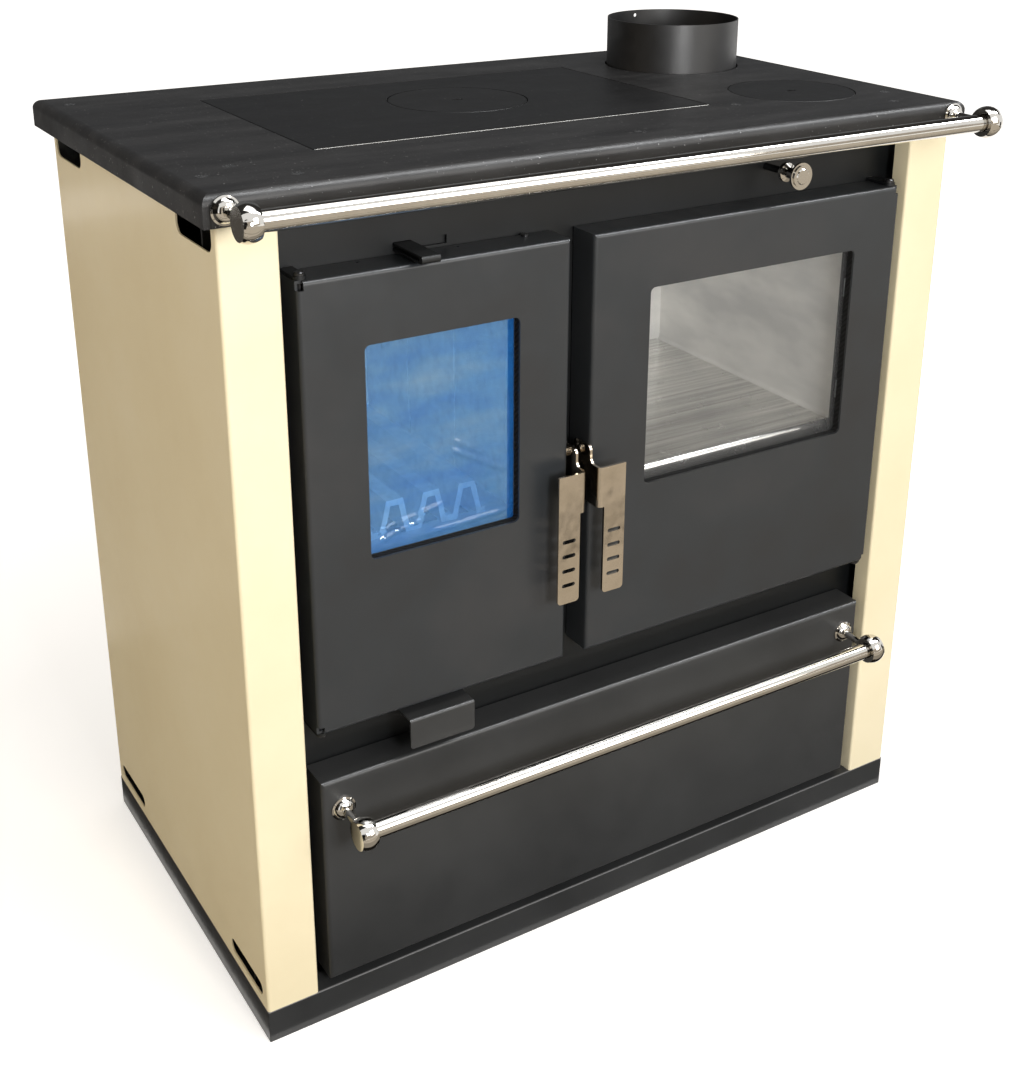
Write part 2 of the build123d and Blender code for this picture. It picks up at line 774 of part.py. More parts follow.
def make_ash_pan():
    """Folded tray under the grate with a turned-down pull along its front."""
    x = (fire_opening[0] + fire_opening[1]) / 2
    x0, x1 = x - pan_width / 2, x + pan_width / 2
    z0 = inner_floor
    z1 = z0 + pan_height
    tray = block(x0, x1, pan_front, pan_back, z0, z1)
    tray = fillet(tray.edges().filter_by(Axis.Z), pan_corner)
    hollow = block(x0 + pan_sheet, x1 - pan_sheet, pan_front + pan_sheet, pan_back - pan_sheet,
                   z0 + pan_sheet, z1 + 1)
    tray -= fillet(hollow.edges().filter_by(Axis.Z), pan_corner - pan_sheet)
    y = pan_front - pan_lip
    lip = strip([(pan_front + pan_sheet, z1), (y, z1), (y, z1 - pan_lip)], pan_pull_bend, pan_sheet)
    return tray + along_x(lip, x - pan_pull_width / 2, x + pan_pull_width / 2)


# ---------------------------------------------------------------- oven and smoke way
def make_oven_box():
    """Oven box with a thick rounded frame that fits the front plate's opening."""
    x0, x1, z0, z1 = oven_left, oven_right, oven_bottom, oven_top
    y0 = plate_y
    s, f = oven_sheet, oven_frame
    box = block(x0 - s, x1 + s, y0, oven_back + s, z0 - s, z1 + s)
    frame = block(x0 - f, x1 + f, y0, y0 + oven_frame_depth, z0 - f, z1 + f)
    frame -= block(x0 - f - 1, x1 + f + 1, plate_back, y0 + oven_frame_depth + 1, z0 - f - 1, z0 - s)
    nosing = block(x0 - f - 1, x1 + f + 1, y0 - 1, y0 + oven_nosing, z0 - oven_nosing, z0 + 1)
    nosing -= rod((x0 - f - 1, y0 + oven_nosing, z0 - oven_nosing), (1, 0, 0),
                  x1 - x0 + 2 * f + 2, oven_nosing)
    hollow = block(x0, x1, y0 - 1, oven_back, z0, z1)
    hollow = fillet(hollow.edges().filter_by(Axis.Y), oven_corner)
    return box + frame - hollow - nosing


def make_oven_floor():
    """Bright loose floor plate whose front edge rolls down over the oven's frame."""
    z1 = oven_bottom + oven_plate_sheet
    y0 = plate_y - run_gap - oven_plate_sheet
    section = strip([(oven_back - oven_plate_rear_gap, z1), (y0, z1), (y0, z1 - oven_plate_drop)],
                    oven_plate_bend, oven_plate_sheet)
    return along_x(section, oven_left + oven_plate_inset, oven_right - oven_plate_inset)


def make_smoke_baffles():
    """Sheet walls that lead the smoke round the oven and up to the flue."""
    t = casing_sheet
    z1 = oven_top + oven_sheet
    z0 = z1 - t
    back = oven_back + oven_sheet
    side, left = oven_right + oven_sheet, oven_left - oven_sheet
    box = block(flue_box_left, flue_box_left + t, flue_box_front, inner_back, z1, hob_under)
    box += block(flue_box_left, inner_right, flue_box_front, flue_box_front + t, z1, hob_under)
    bypass = rounded(bypass_y - bypass_width / 2, bypass_y + bypass_width / 2,
                     bypass_z - bypass_height / 2, bypass_z + bypass_height / 2, bypass_corner)
    box -= along_x(bypass, flue_box_left - 1, flue_box_left + t + 1)
    shelf = block(side, inner_right, flue_box_front, back, z0, z1)
    shelf += block(side, inner_right, back - t, back, inner_floor, z1)
    left_strip = block(partition_x + casing_sheet, left, plate_back, inner_back, z0, z1)
    left_strip -= block(oven_left - oven_frame, left + 1, plate_back - 1, plate_y + oven_frame_depth,
                        z0 - 1, z1 + 1)
    rear_strip = block(left, flue_box_left + t, back, inner_back, z0, z1)
    return box + shelf + left_strip + rear_strip


def make_soot_hatch():
    """Cover of the cleaning hole under the oven and its two screws."""
    w, h = hatch_width / 2, hatch_height / 2
    face = plate_y - hatch_sheet
    cover = along_y(rounded(hatch_x - w, hatch_x + w, hatch_z - h, hatch_z + h, hatch_corner), face, plate_y)
    screws = []
    for side in (-1, 1):
        x = hatch_x + side * (hatch_width - hatch_lap) / 2
        cover -= rod((x, face - over, hatch_z), (0, 1, 0), hatch_sheet + 2 * over, hatch_screw + fit_gap)
        head = rod((x, face, hatch_z), (0, -1, 0), hatch_screw, hatch_screw_head)
        screws.append(head + rod((x, face, hatch_z), (0, 1, 0), hatch_sheet + hatch_screw_grip, hatch_screw))
    return cover, group(screws)


# ---------------------------------------------------------------- doors
def make_door_shell(x0, x1, window, hinge_side):
    """Folded door face with its window, hinge holes, corner notches and handle hole."""
    shell = pan(x0, x1, door_bottom, door_top, front_y, door_back, door_sheet, door_fold)
    shell -= along_y(rounded(*window, window_radius), front_y - 1, front_y + door_sheet + 1)
    edge = x0 if hinge_side < 0 else x1
    hx = edge - hinge_side * hinge_inset
    shell -= rod((hx, hinge_y, door_bottom - 1), (0, 0, 1), door_top - door_bottom + 2, hinge_pin + fit_gap)
    n0, n1 = sorted((edge + hinge_side, edge - hinge_side * corner_notch_width))
    for z0, z1 in ((door_bottom - 1, door_bottom + corner_notch_height),
                   (door_top - corner_notch_height, door_top + 1)):
        shell -= block(n0, n1, front_y - 1, front_y + door_fold + 1, z0, z1)
    free = x1 if hinge_side < 0 else x0
    shell -= rod((free - 2 * door_sheet, pivot_y, pivot_z), (1, 0, 0), 4 * door_sheet, pivot_pin + fit_gap)
    y = door_back - door_screw_setback
    for x, z, up in door_screw_places(x0, x1, hinge_side):
        shell -= rod((x, y, z + up), (0, 0, -up), door_sheet + 2, door_screw_shank + fit_gap)
    if hinge_side < 0:
        for i in range(2):
            hole = Pos(x0 + tab_hole_first + i * tab_hole_pitch, y) * RegularPolygon(tab_hole, 3)
            shell -= along_z(hole, door_top - door_sheet - 1, door_top + 1)
    return shell


def door_screw_places(x0, x1, hinge_side):
    """Screws in the returns: across, height and the way up; only the fire door has one above."""
    places = [(x, door_bottom, -1) for x in (x0 + door_screw_inset, x1 - door_screw_inset)]
    return places + [(x1 - door_screw_inset, door_top, 1)] if hinge_side < 0 else places


def make_door_screws(x0, x1, hinge_side):
    """Short screws that hold the liner through the returns."""
    screws = []
    y = door_back - door_screw_setback
    for x, z, up in door_screw_places(x0, x1, hinge_side):
        screw = rod((x, y, z), (0, 0, up), door_screw_height, door_screw_head)
        screws.append(screw + rod((x, y, z), (0, 0, -up), door_sheet, door_screw_shank))
    return group(screws)


def make_glass(window):
    """Ceramic pane, larger than the window by its lap."""
    x0, x1, z0, z1 = window
    g = glass_lap
    return along_y(rounded(x0 - g, x1 + g, z0 - g, z1 + g, glass_corner), glass_y, glass_y + glass_thickness)


def make_film(window):
    """Thin protective film on the pane, inside the window."""
    x0, x1, z0, z1 = window
    sheet = rounded(x0 + film_margin, x1 - film_margin, z0 + film_margin, z1 - film_margin, window_radius)
    return along_y(sheet, glass_y - film_thickness, glass_y)


def make_clips(window):
    """Z-shaped clips that hold the pane, two each side, welded inside the door face."""
    x0, x1, z0, z1 = window
    y0 = front_y + door_sheet
    y1 = glass_y + glass_thickness + run_gap + clip_sheet
    clips = []
    for edge, side in ((x0 - glass_lap, -1), (x1 + glass_lap, 1)):
        turn = edge + side * clip_gap
        points = [(edge + side * clip_foot, y0), (turn, y0), (turn, y1), (edge - side * clip_lip, y1)]
        section = z_section(points, clip_sheet)
        for z in (z0 + (z1 - z0) * clip_share, z1 - (z1 - z0) * clip_share):
            clips.append(along_z(section, z - clip_width / 2, z + clip_width / 2))
    return group(clips)


def z_section(points, sheet):
    """Cross-section of a Z-fold between a foot and a lip, drawn in X and Y."""
    (xa, ya), (xb, _), (_, yb), (xc, _) = points
    foot = Pos((xa + xb) / 2, ya + sheet / 2) * Rectangle(abs(xa - xb), sheet)
    side = 1 if xa > xb else -1
    riser = Pos(xb + side * sheet / 2, (ya + yb) / 2) * Rectangle(sheet, yb - ya)
    lip = Pos((xb + side * sheet + xc) / 2, yb - sheet / 2) * Rectangle(abs(xb + side * sheet - xc), sheet)
    return foot + riser + lip


def make_liner(x0, x1, window):
    """Inner sheet of a door with a raised rim that keeps the sealing rope in place."""
    gap = door_sheet + liner_gap
    z0, z1 = door_bottom + gap, door_top - gap
    plate = block(x0 + gap, x1 - gap, liner_y, liner_y + liner_sheet, z0, z1)
    wx0, wx1, wz0, wz1 = window
    m = liner_opening_margin
    plate -= along_y(rounded(wx0 - m, wx1 + m, wz0 - m, wz1 + m, m), liner_y - 1, liner_y + liner_sheet + 1)
    g = gap + rope_width + rope_gap
    rim = pan(x0 + g, x1 - g, door_bottom + g, door_top - g, liner_y, liner_y + liner_sheet + liner_rim,
              liner_sheet, liner_sheet + rope_gap)
    rim -= block(x0 + g + liner_sheet, x1 - g - liner_sheet, liner_y - 1, liner_y + liner_sheet + 1,
                 door_bottom + g + liner_sheet, door_top - g - liner_sheet)
    return plate + rim


def make_rope(x0, x1):
    """Sealing rope laid round the back of a door."""
    a = door_sheet + run_gap
    b = a + rope_width
    y0, y1 = liner_y + liner_sheet, plate_y - rope_gap
    outer = rounded(x0 + a, x1 - a, door_bottom + a, door_top - a, rope_corner)
    inner = rounded(x0 + b, x1 - b, door_bottom + b, door_top - b, rope_inner_corner)
    rope = along_y(outer - inner, y0, y1)
    return chamfer(edges_at(rope, Axis.Y, y1), rope_chamfer)


def make_hinge_lugs():
    """Lugs on the front plate above and below each door's hinge edge."""
    lugs = []
    for x in hinge_places():
        for z0 in (door_top + run_gap, door_bottom - run_gap - lug_thickness):
            lug = block(x - lug_radius, x + lug_radius, hinge_y, plate_y, z0, z0 + lug_thickness)
            lug += rod((x, hinge_y, z0), (0, 0, 1), lug_thickness, lug_radius)
            lug -= rod((x, hinge_y, z0 - 1), (0, 0, 1), lug_thickness + 2, hinge_pin + fit_gap)
            lugs.append(lug)
    return group(lugs)


def hinge_places():
    """Hinge lines of the two doors."""
    return fire_door_left + hinge_inset, oven_door_right - hinge_inset


def make_hinge_pins():
    """Headed pins through the lugs into the doors' returns."""
    pins = []
    shank = lug_thickness + run_gap + hinge_grip
    for x in hinge_places():
        top = door_top + run_gap + lug_thickness
        head = rod((x, hinge_y, top), (0, 0, 1), hinge_head_height, hinge_head)
        head = chamfer(edges_at(head, Axis.Z, top + hinge_head_height), hinge_chamfer)
        pins.append(head + rod((x, hinge_y, top), (0, 0, -1), shank, hinge_pin))
        low = door_bottom - run_gap - lug_thickness
        head = rod((x, hinge_y, low), (0, 0, -1), hinge_head_height, hinge_head)
        head = chamfer(edges_at(head, Axis.Z, low - hinge_head_height), hinge_chamfer)
        pins.append(head + rod((x, hinge_y, low), (0, 0, 1), shank, hinge_pin))
    return group(pins)


# ---------------------------------------------------------------- handles and catch
def make_handle():
    """Left handle: slotted tongue, wide head, and a web that turns into the gap as ear and latch nose."""
    y0 = front_y - handle_stand
    x0 = fire_door_right - handle_reach
    web = fire_door_right + handle_web_offset
    head = strip([(x0, y0), (web, y0), (web, pivot_y)], handle_bend, handle_sheet)
    handle = along_z(head, handle_top - handle_head, handle_top)
    tongue = rounded(x0, x0 + handle_tongue, handle_bottom, handle_top, handle_radius)
    handle += along_y(tongue, y0, y0 + handle_sheet)
    edge = pivot_y - ear_front
    ear = rounded(edge, pivot_y + ear_back, handle_top - ear_fall, handle_top + ear_rise, ear_radius)
    throat = Pos(edge - ear_radius / 2, handle_top + ear_radius / 2) * Rectangle(ear_radius, ear_radius)
    throat -= Pos(edge - ear_radius, handle_top + ear_radius) * Circle(ear_radius)
    nose = rounded(pivot_y, plate_y - nose_plate_gap, nose_top - nose_height, nose_top, nose_corner)
    handle += along_x(ear + throat + nose, web - handle_sheet, web)
    slot = RectangleRounded(handle_slot_length, handle_slot_width, 0.49 * handle_slot_width)
    for i in range(handle_slot_count):
        z = handle_top - handle_slot_drop - i * handle_slot_pitch
        handle -= along_y(Pos(x0 + handle_tongue / 2, z) * slot, y0 - 1, y0 + handle_sheet + 1)
    hole = rod((web - handle_sheet - 1, pivot_y, pivot_z), (1, 0, 0), handle_sheet + 2, pivot_pin + fit_gap)
    return handle - hole


def make_pivot():
    """Left handle's shouldered pivot, riveted in the door's side return."""
    edge = fire_door_right
    web = edge + handle_web_offset
    pin = rod((edge - door_sheet - pivot_rivet, pivot_y, pivot_z), (1, 0, 0),
              web - edge + door_sheet + 2 * pivot_rivet, pivot_pin)
    bush = rod((edge, pivot_y, pivot_z), (1, 0, 0), web - handle_sheet - run_gap - edge, pivot_bush)
    head = rod((web + run_gap, pivot_y, pivot_z), (1, 0, 0), pivot_head, pivot_bush)
    tail = rod((edge - door_sheet, pivot_y, pivot_z), (-1, 0, 0), pivot_rivet, pivot_tail)
    head = chamfer(edges_at(head, Axis.X, web + run_gap + pivot_head), pivot_chamfer)
    return pin + bush + head + tail


def make_catch():
    """Cheek welded to the front plate between the doors, with the cross pin over both latch noses."""
    z = nose_top + catch_gap + catch_pin
    y = plate_y - catch_setback
    high, front = catch_cheek_height, y - catch_cheek_reach
    cheek = rounded(front, plate_y + catch_corner, z - high / 2, z + high / 2, catch_corner)
    cheek &= Pos((front + plate_y) / 2, z) * Rectangle(plate_y - front, high)
    cheek = along_x(cheek, gap_middle - catch_cheek / 2, gap_middle + catch_cheek / 2)
    reach = gap_middle - fire_door_right - catch_door_gap
    return cheek + rod((gap_middle - reach, y, z), (1, 0, 0), 2 * reach, catch_pin)


# ---------------------------------------------------------------- drawer
def make_drawer_front():
    """Folded drawer face, holed for the rail's screws."""
    return pan(-drawer_half_width, drawer_half_width, drawer_bottom, drawer_top, front_y, door_back,
               door_sheet, door_fold)


def make_drawer_box():
    """Wood box of the drawer with folded side rims."""
    y0 = front_y + door_sheet
    w, t = box_half_width, box_sheet
    box = block(-w, w, y0, box_back, box_bottom, box_top)
    for side in (-1, 1):
        x0, x1 = sorted((side * (w - t), side * (w + box_rim)))
        box += block(x0, x1, plate_y + runner_gap, box_back, box_top - t, box_top)
    return box - block(-w + t, w - t, y0 + t, box_back - t, box_bottom + t, box_top + 1)


def channel(x_web, x_open, z, height, sheet):
    """Cross-section of a C-channel whose web is at x_web, drawn in X and Z."""
    side = 1 if x_open > x_web else -1
    outer = Pos((x_web + x_open) / 2, z) * Rectangle(abs(x_open - x_web), height)
    inner = Pos((x_web + x_open) / 2 + side * sheet, z) * Rectangle(abs(x_open - x_web), height - 2 * sheet)
    return outer - inner


def make_runners():
    """Fixed drawer channels on the walls of the bay."""
    web = bay_half - bay_sheet
    section = channel(web, box_half_width + runner_gap, runner_z, runner_height, runner_sheet)
    right = along_y(section, plate_back + runner_gap, box_back)
    return group([right, mirrored(right)])


def make_slides():
    """Moving channels on the drawer's sides, running inside the fixed ones."""
    height = runner_height - 2 * runner_sheet - 2 * run_gap
    x1 = bay_half - bay_sheet - runner_sheet - run_gap
    section = channel(box_half_width, x1, runner_z, height, runner_sheet)
    right = along_y(section, plate_back + runner_gap, box_back)
    return group([right, mirrored(right)])


# ---------------------------------------------------------------- rails
def rail_end(x, y, z, side):
    """Turned ball with two flat ends, a neck that plugs the tube, and a seat for the stem."""
    ball = Sphere(rail_ball) & Box(2 * rail_flat, 2 * rail_ball, 2 * rail_ball)
    neck_length = rail_flat + rail_groove + rail_plug
    ball += rod((0, 0, 0), (-side, 0, 0), neck_length, rail_tube / 2 - rail_wall - fit_gap)
    ball -= rod((0, rail_ball - stem_seat, 0), (0, 1, 0), stem_seat + 1, stem_radius + fit_gap)
    return Pos(x, y, z) * ball


def rosette(x, y, z):
    """Turned rosette with a domed step, foot on the panel at y, facing forwards."""
    r, d = rosette_radius, rosette_depth
    foot = (r * rosette_foot_width, d * rosette_foot)
    shoulder = (r * rosette_shoulder_width, d * rosette_shoulder)
    top = (r * rosette_top_width, d)
    outline = Polyline((0, 0), (r, 0), (r, d * rosette_rim), foot)
    outline += ThreePointArc(foot, shoulder, top)
    outline += Polyline(top, (0, d), (0, 0))
    return Plane(origin=(x, y, z), x_dir=(1, 0, 0), z_dir=(0, 0, -1)) * revolve(make_face(outline), Axis.Y)


def make_rail(reach, y_face, z):
    """A rail's tube, its two ends and its two posts."""
    y = y_face - rail_stand
    inner = reach - rail_flat - rail_groove
    tube = rod((-inner, y, z), (1, 0, 0), 2 * inner, rail_tube / 2)
    tube -= rod((-inner - 1, y, z), (1, 0, 0), 2 * inner + 2, rail_tube / 2 - rail_wall)
    ends = [rail_end(side * reach, y, z, side) for side in (-1, 1)]
    posts = []
    for side in (-1, 1):
        stem_length = rail_stand - rail_ball + stem_seat - rosette_depth + 1
        stem = rod((side * reach, y_face - rosette_depth + 1, z), (0, -1, 0), stem_length, stem_radius)
        posts.append(rosette(side * reach, y_face, z) + stem)
    return tube, group(ends), group(posts)


# ---------------------------------------------------------------- controls and trim
def make_damper():
    """Bypass damper: sliding plate on the flue box's wall, welded to its pull rod."""
    x1 = flue_box_left - run_gap
    y0, y1 = bypass_y - bypass_width / 2, bypass_y + bypass_width / 2
    z0, z1 = bypass_z - bypass_height / 2, bypass_z + bypass_height / 2
    lap, rib = damper_lap, damper_rib / 2
    plate = rounded(y0 - lap, y1 + lap, z0 - lap, z1 + lap, damper_corner)
    plate = along_x(plate, x1 - damper_sheet, x1)
    plate += block(damper_x, x1 - damper_sheet, y0, y1, damper_z - rib, damper_z + rib)
    start = plate_y - damper_stand - damper_grip
    return plate + rod((damper_x, start, damper_z), (0, 1, 0), y1 - start, damper_rod)


def make_knob():
    """Turned damper knob: back collar, neck and a stepped face with a centre button."""
    y = plate_y - damper_stand
    r, length, rim = knob_radius, knob_length, knob_length - knob_rim
    low, step = length - knob_rim * 2, length - knob_step
    steps = [(0, 0), (knob_collar, 0), (knob_collar, knob_collar_length),
             (knob_neck, knob_collar_length + knob_flare), (knob_neck, low - 2 * knob_flare), (r, low),
             (r, rim), (r - knob_rim, rim), (r - knob_rim, step), (knob_button + knob_step, step),
             (knob_button, length), (0, length)]
    knob = revolve(make_face(Polyline(*steps, close=True)), Axis.Y)
    knob = Plane(origin=(damper_x, y, damper_z), x_dir=(1, 0, 0), z_dir=(0, 0, -1)) * knob
    depth = damper_grip + over + fit_gap
    return knob - rod((damper_x, y + over, damper_z), (0, -1, 0), depth, damper_rod + fit_gap)


def make_slider():
    """Air slider: a hairpin tab through the front plate, with its shutter behind."""
    x0, x1 = slider_x - slider_width / 2, slider_x + slider_width / 2
    z1, z0 = slider_top, slider_top - slider_height
    y0, y1 = plate_y - slider_reach, plate_back + slider_gap
    tab = block(x0, x1, y0, y1, z0, z1)
    tab = fillet(edges_at(tab, Axis.Y, y0).filter_by(Axis.X), slider_nose)
    s = slider_sheet
    tab -= block(x0 - 1, x1 + 1, y0 + slider_fold * s, y1 + 1, z0 + s, z1 - s)
    shutter = along_y(rounded(slider_x - shutter_width / 2, slider_x + shutter_width / 2,
                              (z0 + z1 - shutter_height) / 2, (z0 + z1 + shutter_height) / 2,
                              shutter_corner), y1, y1 + shutter_sheet)
    shutter -= block(x0 - slider_travel, x0 - shutter_land, y1 - over, y1 + shutter_sheet + over,
                     z0 - over, z1 + over)
    return tab + shutter


def make_air_duct():
    """Folded duct behind the slider that blows air down over the pane."""
    x = (fire_door_left + fire_door_right) / 2
    duct = block(x - duct_width / 2, x + duct_width / 2, plate_back, plate_back + duct_depth,
                 duct_bottom, duct_top)
    duct = fillet(edges_at(duct, Axis.Z, duct_top).filter_by(Axis.X).sort_by(Axis.Y)[-1], duct_bend)
    s = panel_sheet
    return duct - block(x - duct_width / 2 + s, x + duct_width / 2 - s, plate_back - 1,
                        plate_back + duct_depth - s, duct_bottom - 1, duct_top - s)


def make_badge():
    """Bare folded plate under the fire door."""
    y0 = front_y - badge_stand
    low = badge_top - badge_height
    section = strip([(plate_y, badge_top), (y0, badge_top), (y0, low)], badge_bend, badge_sheet)
    plate = along_x(section, badge_x - badge_width / 2, badge_x + badge_width / 2)
    return fillet(edges_at(plate, Axis.Z, low).filter_by(Axis.Y), badge_corner)


# ---------------------------------------------------------------- the stove
left_panel = make_side_panel()
parts["plinth"] = make_plinth()
parts["left_side_panel"] = left_panel
parts["right_side_panel"] = mirrored(left_panel)
parts["rear_panel"] = make_rear_panel()
parts["rear_screws"] = make_rear_screws()
parts["drawer_bay"] = make_drawer_bay()
parts["front_plate"] = make_front_plate()
parts["inner_casing"] = make_casing()
parts["hob_plate"] = make_hob()
parts["hob_screws"] = group([countersunk(x, y) for x, y in screw_places()])
parts["insert_plate"] = make_insert()
parts["insert_lid"] = make_lid(lid_a_x, lid_a_y, lid_a_radius, 2)
parts["hob_lid"] = make_lid(lid_b_x, lid_b_y, lid_b_radius, 1)
parts["flue_collar"] = make_flue_collar()
parts["firebricks"] = make_bricks()
parts["firebox_floor"] = make_floor_plate()
parts["grate"] = make_grate()
parts["ash_pan"] = make_ash_pan()
parts["oven_box"] = make_oven_box()
parts["oven_floor_plate"] = make_oven_floor()
parts["smoke_baffles"] = make_smoke_baffles()
parts["soot_hatch"], parts["soot_hatch_screws"] = make_soot_hatch()
parts["air_duct"] = make_air_duct()
parts["air_slider"] = make_slider()
parts["damper_plate"] = make_damper()
parts["damper_knob"] = make_knob()
parts["hinge_lugs"] = make_hinge_lugs()
parts["hinge_pins"] = make_hinge_pins()
parts["door_catch"] = make_catch()
parts["badge_plate"] = make_badge()
doors = (("fire", fire_door_left, fire_door_right, fire_window, -1),
         ("oven", oven_door_left, oven_door_right, oven_window, 1))
handle, pivot = make_handle(), make_pivot()
for name, x0, x1, window, hinge_side in doors:
    parts[name + "_door_shell"] = make_door_shell(x0, x1, window, hinge_side)
    parts[name + "_door_liner"] = make_liner(x0, x1, window)
    parts[name + "_door_rope"] = make_rope(x0, x1)
    parts[name + "_door_screws"] = make_door_screws(x0, x1, hinge_side)
    parts[name + "_glass"] = make_glass(window)
    parts[name + "_glass_gasket"] = ring_frame(window, 0, gasket_width, front_y + door_sheet, glass_y,
                                               window_radius)
    parts[name + "_glass_clips"] = make_clips(window)
    parts[name + "_handle"] = handle if name == "fire" else mirrored(handle, gap_middle)
    parts[name + "_handle_pivot"] = pivot if name == "fire" else mirrored(pivot, gap_middle)
parts["fire_glass_film"] = make_film(fire_window)
parts["drawer_front"] = make_drawer_front()
parts["drawer_box"] = make_drawer_box()
parts["drawer_runners"] = make_runners()
parts["drawer_slides"] = make_slides()
for name, reach, y_face, z in (("top_rail", top_rail_x, hob_front, cooking_height - top_rail_drop),
                               ("drawer_rail", drawer_rail_x, front_y, drawer_top - drawer_rail_drop)):
    tube, ends, posts = make_rail(reach, y_face, z)
    parts[name + "_tube"] = tube
    parts[name + "_ends"] = ends
    parts[name + "_posts"] = posts

os.makedirs("parts", exist_ok=True)
for name, shape in parts.items():
    export_step(shape, "parts/" + name + ".step")
print(len(parts), "nodes")
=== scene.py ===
import bmesh
import bpy
import math
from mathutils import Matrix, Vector, noise


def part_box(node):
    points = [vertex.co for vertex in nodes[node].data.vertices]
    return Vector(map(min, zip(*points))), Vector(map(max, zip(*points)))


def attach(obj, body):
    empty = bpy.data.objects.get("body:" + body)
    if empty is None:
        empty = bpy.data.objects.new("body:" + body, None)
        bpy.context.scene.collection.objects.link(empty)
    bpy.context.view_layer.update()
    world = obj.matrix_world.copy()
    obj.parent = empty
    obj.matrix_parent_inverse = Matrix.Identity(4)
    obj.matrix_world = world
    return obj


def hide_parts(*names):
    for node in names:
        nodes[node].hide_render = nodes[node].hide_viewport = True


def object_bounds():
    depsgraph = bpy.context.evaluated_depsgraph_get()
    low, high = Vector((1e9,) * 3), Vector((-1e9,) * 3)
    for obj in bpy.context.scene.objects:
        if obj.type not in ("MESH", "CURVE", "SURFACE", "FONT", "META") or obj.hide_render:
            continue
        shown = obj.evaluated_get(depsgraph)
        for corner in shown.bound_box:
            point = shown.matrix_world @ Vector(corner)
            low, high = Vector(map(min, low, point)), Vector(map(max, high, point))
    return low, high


# Looks of a wood-burning cookstove: cream enamel body, black satin doors, chrome rails.
# Metres, X to the right, Y into the stove, Z up; the origin is the middle of the plinth, on the floor.

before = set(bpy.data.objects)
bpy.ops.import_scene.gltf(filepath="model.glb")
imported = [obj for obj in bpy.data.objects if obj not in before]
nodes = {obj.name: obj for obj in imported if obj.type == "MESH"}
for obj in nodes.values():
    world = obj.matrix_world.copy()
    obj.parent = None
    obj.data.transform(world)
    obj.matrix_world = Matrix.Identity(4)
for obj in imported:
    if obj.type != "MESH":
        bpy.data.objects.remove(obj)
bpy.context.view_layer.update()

# ---------------------------------------------------------------- black painted sheet
# Plinth, recessed front plate, door and drawer faces: folded mild steel, sprayed with a black satin
# stove paint and baked. The hinge lugs, the catch, the soot hatch and the air slider match the plate.
cloud_size = 0.22           # faint clouds in the paint
sheen_size = 0.03           # patches of more and less sheen
satin_gloss = 0.34
powder_grain = 0.0009       # drawn coarser than the real grain, so that it shows
powder_depth = 0.0002
plinth_highlight_width = 0.0012       # painted highlight along the plinth's upper edges
plinth_highlight_grey = "77787A"
stand_off = 0.001           # how far the box round a marked spot reaches past its faces


def linear(hex_colour):
    """An sRGB hex colour as linear RGBA."""
    values = [int(hex_colour[i:i + 2], 16) / 255 for i in (0, 2, 4)]
    return [v / 12.92 if v <= 0.04045 else ((v + 0.055) / 1.055) ** 2.4 for v in values] + [1.0]


def add(tree, kind, settings=None, links=None, **attributes):
    """Adds one node with its attributes, socket values and links."""
    node = tree.nodes.new(kind)
    for name, value in attributes.items():
        setattr(node, name, value)
    for socket, value in (settings or {}).items():
        node.inputs[socket].default_value = value
    for socket, source in (links or {}).items():
        tree.links.new(source, node.inputs[socket])
    return node


def bare_tree(owner):
    """The emptied node tree of a material or a world."""
    owner.use_nodes = True
    owner.node_tree.nodes.clear()
    return owner.node_tree


def layered(name, settings, colour, gloss, bumps):
    """A surface in layers: clouds of colour (size, stretch, stops), patches of gloss (size, low, high)
    and bumps (size, stretch, strength, depth), coarse ones first. Sizes are metres. Returns the
    material with its tree, shader, colour ramp and coordinates, for what is laid over it."""
    surface = bpy.data.materials.new(name)
    tree = bare_tree(surface)
    shader = add(tree, "ShaderNodeBsdfPrincipled", settings)
    add(tree, "ShaderNodeOutputMaterial", links={"Surface": shader.outputs[0]})
    place = add(tree, "ShaderNodeTexCoord").outputs["Object"]

    def pattern(size, stretch, detail):
        spot = add(tree, "ShaderNodeMapping", {"Scale": stretch or (1, 1, 1)}, {"Vector": place})
        return add(tree, "ShaderNodeTexNoise", {"Scale": 1 / size, "Detail": detail, "Roughness": 0.6},
                   {"Vector": spot.outputs[0]}).outputs["Fac"]

    size, stretch, stops = colour
    ramp = add(tree, "ShaderNodeValToRGB", links={"Fac": pattern(size, stretch, 5.0)})
    points = ramp.color_ramp.elements
    while len(points) < len(stops):
        points.new(0.5)
    for point, (position, hex_colour) in zip(points, stops):
        point.position = position
        point.color = linear(hex_colour)
    tree.links.new(ramp.outputs["Color"], shader.inputs["Base Color"])
    size, low, high = gloss
    span = add(tree, "ShaderNodeMapRange", {"From Min": 0.3, "From Max": 0.7, "To Min": low, "To Max": high},
               {"Value": pattern(size, None, 4.0)})
    tree.links.new(span.outputs["Result"], shader.inputs["Roughness"])
    normal = None
    for size, stretch, strength, depth in bumps:
        links = {"Height": pattern(size, stretch, 2.0)}
        if normal:
            links["Normal"] = normal
        relief = add(tree, "ShaderNodeBump", {"Strength": strength, "Distance": depth}, links)
        normal = relief.outputs["Normal"]
    tree.links.new(normal, shader.inputs["Normal"])
    return surface, tree, shader, ramp, place


def finish(*recipe):
    """A layered surface with nothing laid over it."""
    return layered(*recipe)[0]


def paint(surface, *names):
    """Gives CAD nodes a material."""
    for name in names:
        nodes[name].data.materials.clear()
        nodes[name].data.materials.append(surface)


